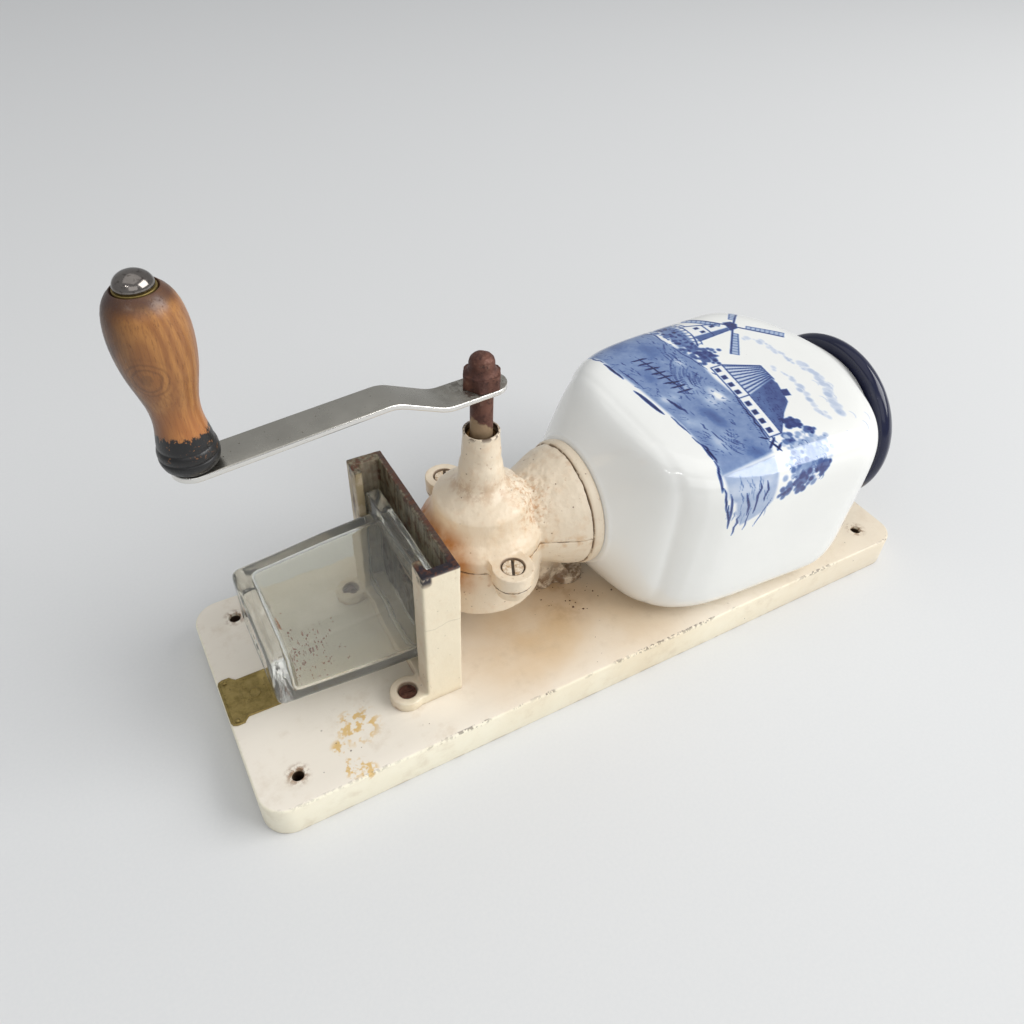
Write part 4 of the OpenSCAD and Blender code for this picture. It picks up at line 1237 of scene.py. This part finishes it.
def paint_clouds(p):
    for line, size in (
        (((-28, 115), (-20, 119), (-12, 121), (-2, 123), (10, 125)), 2.0),
        (((4, 127), (16, 126), (26, 124), (36, 118), (44, 116)), 3.0),
        (((2, 110), (14, 112), (26, 110), (36, 106), (44, 108)), 2.2),
    ):
        for a, b in zip(line[:-1], line[1:]):
            for t in np.linspace(0, 1, 7):
                spot = np.array(a) * (1 - t) + np.array(b) * t + rng.normal(0, 0.8, 2)
                p.disc(spot, size * rng.uniform(0.3, 1.1), rng.uniform(0.15, 0.27), 0.8, squash=0.7)
    for _ in range(10):
        p.curl(somewhere((10, 60), (104, 128)), (2.6, 1.5), np.linspace(0.2, 2.9, 7), 0.4, 0.32)


def paint_landscape(u, v):
    """A made-up Dutch waterside in blue: mill, barn, trees, fence, reeds and clouds."""
    p = Painter(u, v)
    for motif in (
        paint_water, paint_shore, paint_meadow, paint_barn, paint_trees, paint_windmill, paint_clouds,
    ):
        motif(p)
    # nothing below the picture or past its right edge
    p.tone[: np.searchsorted(v, 29.5)] = 0
    p.tone[:, (u < PICTURE[0] + 0.6) | (u > PICTURE[1] - 1)] = 0
    return np.clip(p.tone, 0, 1).astype(np.float32)


# ---- glass cup -----------------------------------------------------------

def make_cup():
    lo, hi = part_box("glass_cup")
    end, face = lo.x / MM, hi.x / MM
    flange = 7
    neck = face - flange
    # x, half width, half height, middle's height and corner radius: outside, flange, inside
    stations = [
        (end, 25.4, 15.0, 56.4, 6.0), (end + 0.15, 26.8, 16.4, 56.4, 6.2),
        (end + 0.7, 28.1, 17.7, 56.4, 6.6), (end + 1.7, 28.9, 18.5, 56.45, 7.0),
        (end + 3.2, 29.3, 18.95, 56.5, 7.0), (end + 20, 29.75, 20.1, 56.9, 7.0),
        (neck - 25, 30.25, 22.1, 57.7, 7.0), (neck - 1.2, 30.55, 23.5, 58.2, 7.0),
        (neck - 0.4, 31.0, 23.95, 58.2, 7.2), (neck, 31.9, 24.8, 58.2, 7.6),
        (neck, 35.9, 31.3, 58.5, 8.5), (neck + 0.35, 36.7, 32.1, 58.5, 9.0),
        (neck + 1.1, 37.0, 32.4, 58.5, 9.2), (face - 1.1, 37.0, 32.4, 58.5, 9.2),
        (face - 0.35, 36.7, 32.1, 58.5, 9.0), (face, 35.9, 31.3, 58.5, 8.5),
        (face, 28.4, 21.8, 58.3, 7.0), (face - 0.3, 27.3, 20.7, 58.3, 6.6),
        (face - 1.2, 26.7, 20.1, 58.3, 6.4), (neck, 26.1, 19.2, 58.2, 6.2),
        (neck - 25, 25.8, 17.9, 57.7, 6.2), (end + 20, 25.4, 15.9, 57.0, 6.0),
        (end + 12, 25.2, 15.3, 56.8, 6.0), (end + 10, 24.8, 14.9, 56.75, 5.8),
        (end + 8.7, 23.9, 14.0, 56.7, 5.2), (end + 8.1, 22.6, 12.7, 56.7, 4.4),
        (end + 8, 21.4, 11.5, 56.7, 3.6),
    ]
    cup = loft("cup_glass", [
        [(x, y, z) for y, z in rounded_rect(wide, high, radius, 9, (0, middle))]
        for x, wide, high, middle, radius in stations
    ])
    # pressed square marks under the base
    for y in (-8, 8):
        boolean_cut(cup, loft("cutter", [
            [(x, a, b) for a, b in rounded_rect(half, half, 1, 5, (y, 56.4))]
            for x, half in ((end - 0.5, 4.8), (end + 0.5, 4.5))
        ]))
    cup.data.shade_smooth()
    piece(cup, "cup", "glass", "glass_cup")
    dust_in_cup(end, neck)


def dust_in_cup(end, neck):
    """Coffee dust left in the cup, and rust flakes by its end."""
    spots = []
    for _ in range(210):
        x = end + 8.6 + abs(rng.normal(0, 13))
        y = rng.normal(-8, 10)
        if abs(y) < 21 and x < -100:
            # on the cup's lower wall, which slopes down towards its mouth
            z = 57.25 - np.interp(x, (end + 12, end + 20, neck), (15.25, 15.85, 19.1))
            spots.append((x, y, z, rng.uniform(0.18, 0.55)))
    grains("coffee_dust", spots, "cup", "dust")
    flakes = [
        (end + 9.9, 10, 44.7, 1.7), (end + 9.6, 12, 45.4, 1.4), (end + 9.7, 11, 47.0, 1.2),
        (end + 10.2, 9, 44.2, 1.1), (end + 9.4, 12.5, 47.8, 0.8),
    ]
    grains("rust_flake", flakes, "cup", "flake")


def grains(name, spots, body, look):
    """Small irregular crumbs at (x, y, z, radius), as one piece."""
    verts, faces = [], []
    for x, y, z, r in spots:
        base = len(verts)
        edit = bmesh.new()
        bmesh.ops.create_icosphere(edit, subdivisions=1, radius=r)
        stretch = rng.uniform(0.6, 1.3, 3)
        for vert in edit.verts:
            jitter = rng.uniform(0.75, 1.2)
            verts.append((x + vert.co.x * jitter * stretch[0], y + vert.co.y * jitter * stretch[1],
                          z + vert.co.z * jitter * 0.6))
        edit.verts.index_update()
        for face in edit.faces:
            faces.append(tuple(base + vert.index for vert in face.verts))
        edit.free()
    piece(solid(name, verts, faces), body, look)


# ---- crank ---------------------------------------------------------------

def make_arm():
    """The flat arm: rounded ends, a step up to the spindle and a droop towards the grip."""
    lo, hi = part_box("crank_arm")
    low = lo.z / MM
    thick, half_w, reach = 2.5, 7.95, 8.0
    rise = hi.z / MM - low - thick
    bend_start, bend_length, droop_start = 20.3, 22.4, 42.2
    droop = math.hypot(AXLE.x, AXLE.y) / AXLE.z
    tip, hub = CRANK_RADIUS + half_w, -11.25
    ends = reach * (1 - np.cos(np.linspace(0, math.pi / 2, 14)))
    xs = np.concatenate([hub + ends, np.linspace(-1, tip - 8.5, 90), tip - ends[::-1]])
    window = np.linspace(-3.5, 3.5, 15)
    loops = []
    c, s = math.cos(CRANK_ANGLE), math.sin(CRANK_ANGLE)
    for x in xs:
        beyond = max(hub + reach - x, x - tip + reach, 0) / reach
        w = max(half_w * math.sqrt(max(1 - beyond**2, 0)), 0.03)
        z = low + rise * float(np.mean(np.clip((x + window - bend_start) / bend_length, 0, 1)))
        z -= droop * float(np.mean(np.clip(x + window - droop_start, 0, None))) + 0.02
        loops.append([
            (SPINDLE[0] + c * x - s * a, SPINDLE[1] + s * x + c * a, z + thick / 2 + b)
            for a, b in rounded_rect(w, thick / 2 - 0.02, min(0.62, w * 0.9), 4)
        ])
    piece(loft("crank_bar", loops), "crank", "nickel", "crank_arm")


def on_axle(obj):
    """Stands a piece made upright at the origin on the grip's axle."""
    turn = Vector((0, 0, 1)).rotation_difference(AXLE).to_matrix().to_4x4()
    obj.data.transform(Matrix.Translation(Vector(GRIP) * MM) @ turn)
    return obj


def make_crank_top():
    nut = cad_copy("acorn_nut", "cap_nut", 0.28, 3, 0.22, 2.5)
    piece(nut, "crank", "rust", "cap_nut")
    outline = [
        (3.06, 0.02), (7.2, 0.02), (8.6, 0.5), (9.6, 1.6), (10.1, 3.2), (10.28, 4.6), (10.0, 5.2),
        (9.75, 5.5), (10.0, 5.8), (10.25, 6.4), (10.15, 7.6), (9.9, 8.6), (9.5, 9.2), (9.3, 9.5),
        (9.45, 9.9), (9.35, 11.0), (8.9, 13.4), (8.4, 16), (8.08, 18.6), (8.0, 21), (8.12, 23.6),
        (8.5, 26.5), (9.1, 29.2), (9.8, 32), (10.5, 34.7), (11.2, 37.5), (11.7, 40.2), (12.1, 43),
        (12.42, 46), (12.58, 49), (12.58, 51.8), (12.4, 54.5), (12.02, 57.2), (11.5, 59.5),
        (10.8, 61.5), (10, 63), (9.0, 64.4), (7.95, 65.4), (7.45, 65.9), (7.2, 66.05), (7.0, 65.8),
        (6.95, 65.0), (3.06, 65.0),
    ]
    dome = [
        (0, 3.75), (3.02, 3.75), (3.02, 0.03), (5.4, 0.03), (5.9, 0.12), (6.08, 0.7), (6.02, 1.2),
        (5.8, 1.9), (5.4, 2.6), (4.9, 3.2), (4.25, 3.75), (3.5, 4.2), (2.7, 4.56), (1.8, 4.8),
        (0.9, 4.95), (0, 4.99),
    ]
    # heights along the axle: the grip starts clear of its washer, and the cap stands on another
    for made, body, look, node in (
        (lathe("grip_wood", outline, height=0.8, segments=112, closed=True), "grip", "wood", "grip"),
        (lathe("grip_cap_dome", dome, height=67, segments=80), "grip", "chrome", "grip_cap"),
        (washer("cap_washer_ring", 3.05, 6.45, 0.02, 0.98, 0.2, height=66), "grip", "brass", "cap_washer"),
        (washer("grip_washer_ring", 3.08, 5.98, 0.01, 0.59, 0.15), "crank", "nickel", "grip_washer"),
    ):
        piece(on_axle(made), body, look, node)
    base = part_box("bearing_bush")[0].z / MM
    bush = washer("bush_sleeve", 5.06, 6.95, 0.05, 22.95, 0.4, centre=SPINDLE, height=base)
    piece(bush, "base", "bronze", "bearing_bush")


def make_spring():
    lo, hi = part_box("burr_spring")
    turns, steps, sides, wire, coil = 5, 40, 12, 0.7, 6.1
    inset = wire + 0.05
    z0, z1 = lo.z / MM + inset, hi.z / MM - inset
    loops = []
    for k in range(turns * steps + 1):
        a = 2 * math.pi * k / steps
        z = z0 + (z1 - z0) * k / (turns * steps)
        loops.append([
            (SPINDLE[0] + (coil + wire * math.cos(t)) * math.cos(a),
             SPINDLE[1] + (coil + wire * math.cos(t)) * math.sin(a), z + wire * math.sin(t))
            for t in np.arange(sides) * 2 * math.pi / sides
        ])
    spring = loft("burr_spring_coil", loops)
    piece(spring, "base", "zinc", "burr_spring")
    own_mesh(spring)


def dress_cad_nodes():
    """The spindle and the hidden parts keep their CAD shape."""
    for node, look in (
        ("neck_foot_bolt", "zinc"), ("hopper_gasket", "rubber"), ("ring_burr", "iron"),
        ("ring_burr_pins", "zinc"), ("lock_nut", "zinc"), ("adjusting_screw", "zinc"),
        ("spindle", "rust"), ("cone_burr", "iron"), ("burr_pin", "zinc"), ("grip_axle", "nickel"),
    ):
        data = frame["nodes"][node].data
        data.materials.clear()
        data.materials.append(LOOKS[look][1])


def make_crumbs():
    """Coffee crumbs on the board: a heap under the mill, and a few along the near side."""
    spots = []
    for _ in range(34):
        x, y = rng.normal(-6, 9), rng.normal(-16, 6)
        if abs(y) < 60:
            spots.append((x, y, TOP + 0.15, rng.uniform(0.15, 0.5)))
    for _ in range(14):
        spots.append((rng.uniform(-180, 170), rng.uniform(-62, -20), TOP + 0.08, rng.uniform(0.12, 0.3)))
    grains("board_crumbs", spots, "base", "coffee")


# the slot and the material of each look
LOOKS = {
    "board": ("board_paint", board_paint()),
    "mill": ("cream_enamel", cast_enamel("mill_enamel", mill_stains_and_shade)),
    "collar": ("cream_enamel", cast_enamel("collar_enamel", collar_stains)),
    "bracket": ("cream_enamel", cast_enamel("bracket_enamel", bracket_stains_and_light)),
    "screw": ("painted_screw", screw_paint()),
    "brass": ("aged_brass", aged_brass()),
    "rust": ("rusty_steel", rusty_steel()),
    "nickel": ("nickel_plate", nickel_plate()),
    "chrome": ("nickel_plate", shaded_chrome()),
    "wood": ("turned_wood", turned_wood()),
    "glaze": ("white_glaze", glaze()),
    "lid": ("navy_lid", navy_gloss()),
    "glass": ("cup_glass", cup_glass()),
    "zinc": ("spring_steel", plain_metal("zinc_steel", (176, 176, 172), 0.4, (128, 126, 120))),
    "iron": ("burr_iron", plain_metal("burr_iron", (112, 112, 112), 0.5, (70, 68, 66), 1.0)),
    "bronze": ("bronze", plain_metal("bronze", (150, 112, 62), 0.4, (84, 60, 36))),
    "coffee": ("burr_iron", plain_stuff("coffee_grain", (66, 38, 26), (120, 82, 60))),
    # coffee dust in the cup, redder and lighter than the crumbs: the lighter tone is painted light that
    # offsets the shade under the glass
    "dust": ("burr_iron", plain_stuff("coffee_dust", (112, 62, 44), (164, 106, 80))),
    "flake": ("rusty_steel", plain_stuff(
        "rust_flake", (206, 136, 66), (168, 96, 44), 0.7, (2, 4), (0.5, 4), 0.2)),
    "rubber": ("black_rubber", plain_stuff(
        "black_rubber", (28, 28, 28), (46, 44, 42), 0.75, (3, 4), (0.6, 3), 0.08)),
}

add_camera()
add_stage()
make_board()
make_badge()
make_castings()
make_hopper()
make_lid()
make_cup()
make_arm()
make_crank_top()
make_spring()
dress_cad_nodes()
make_crumbs()
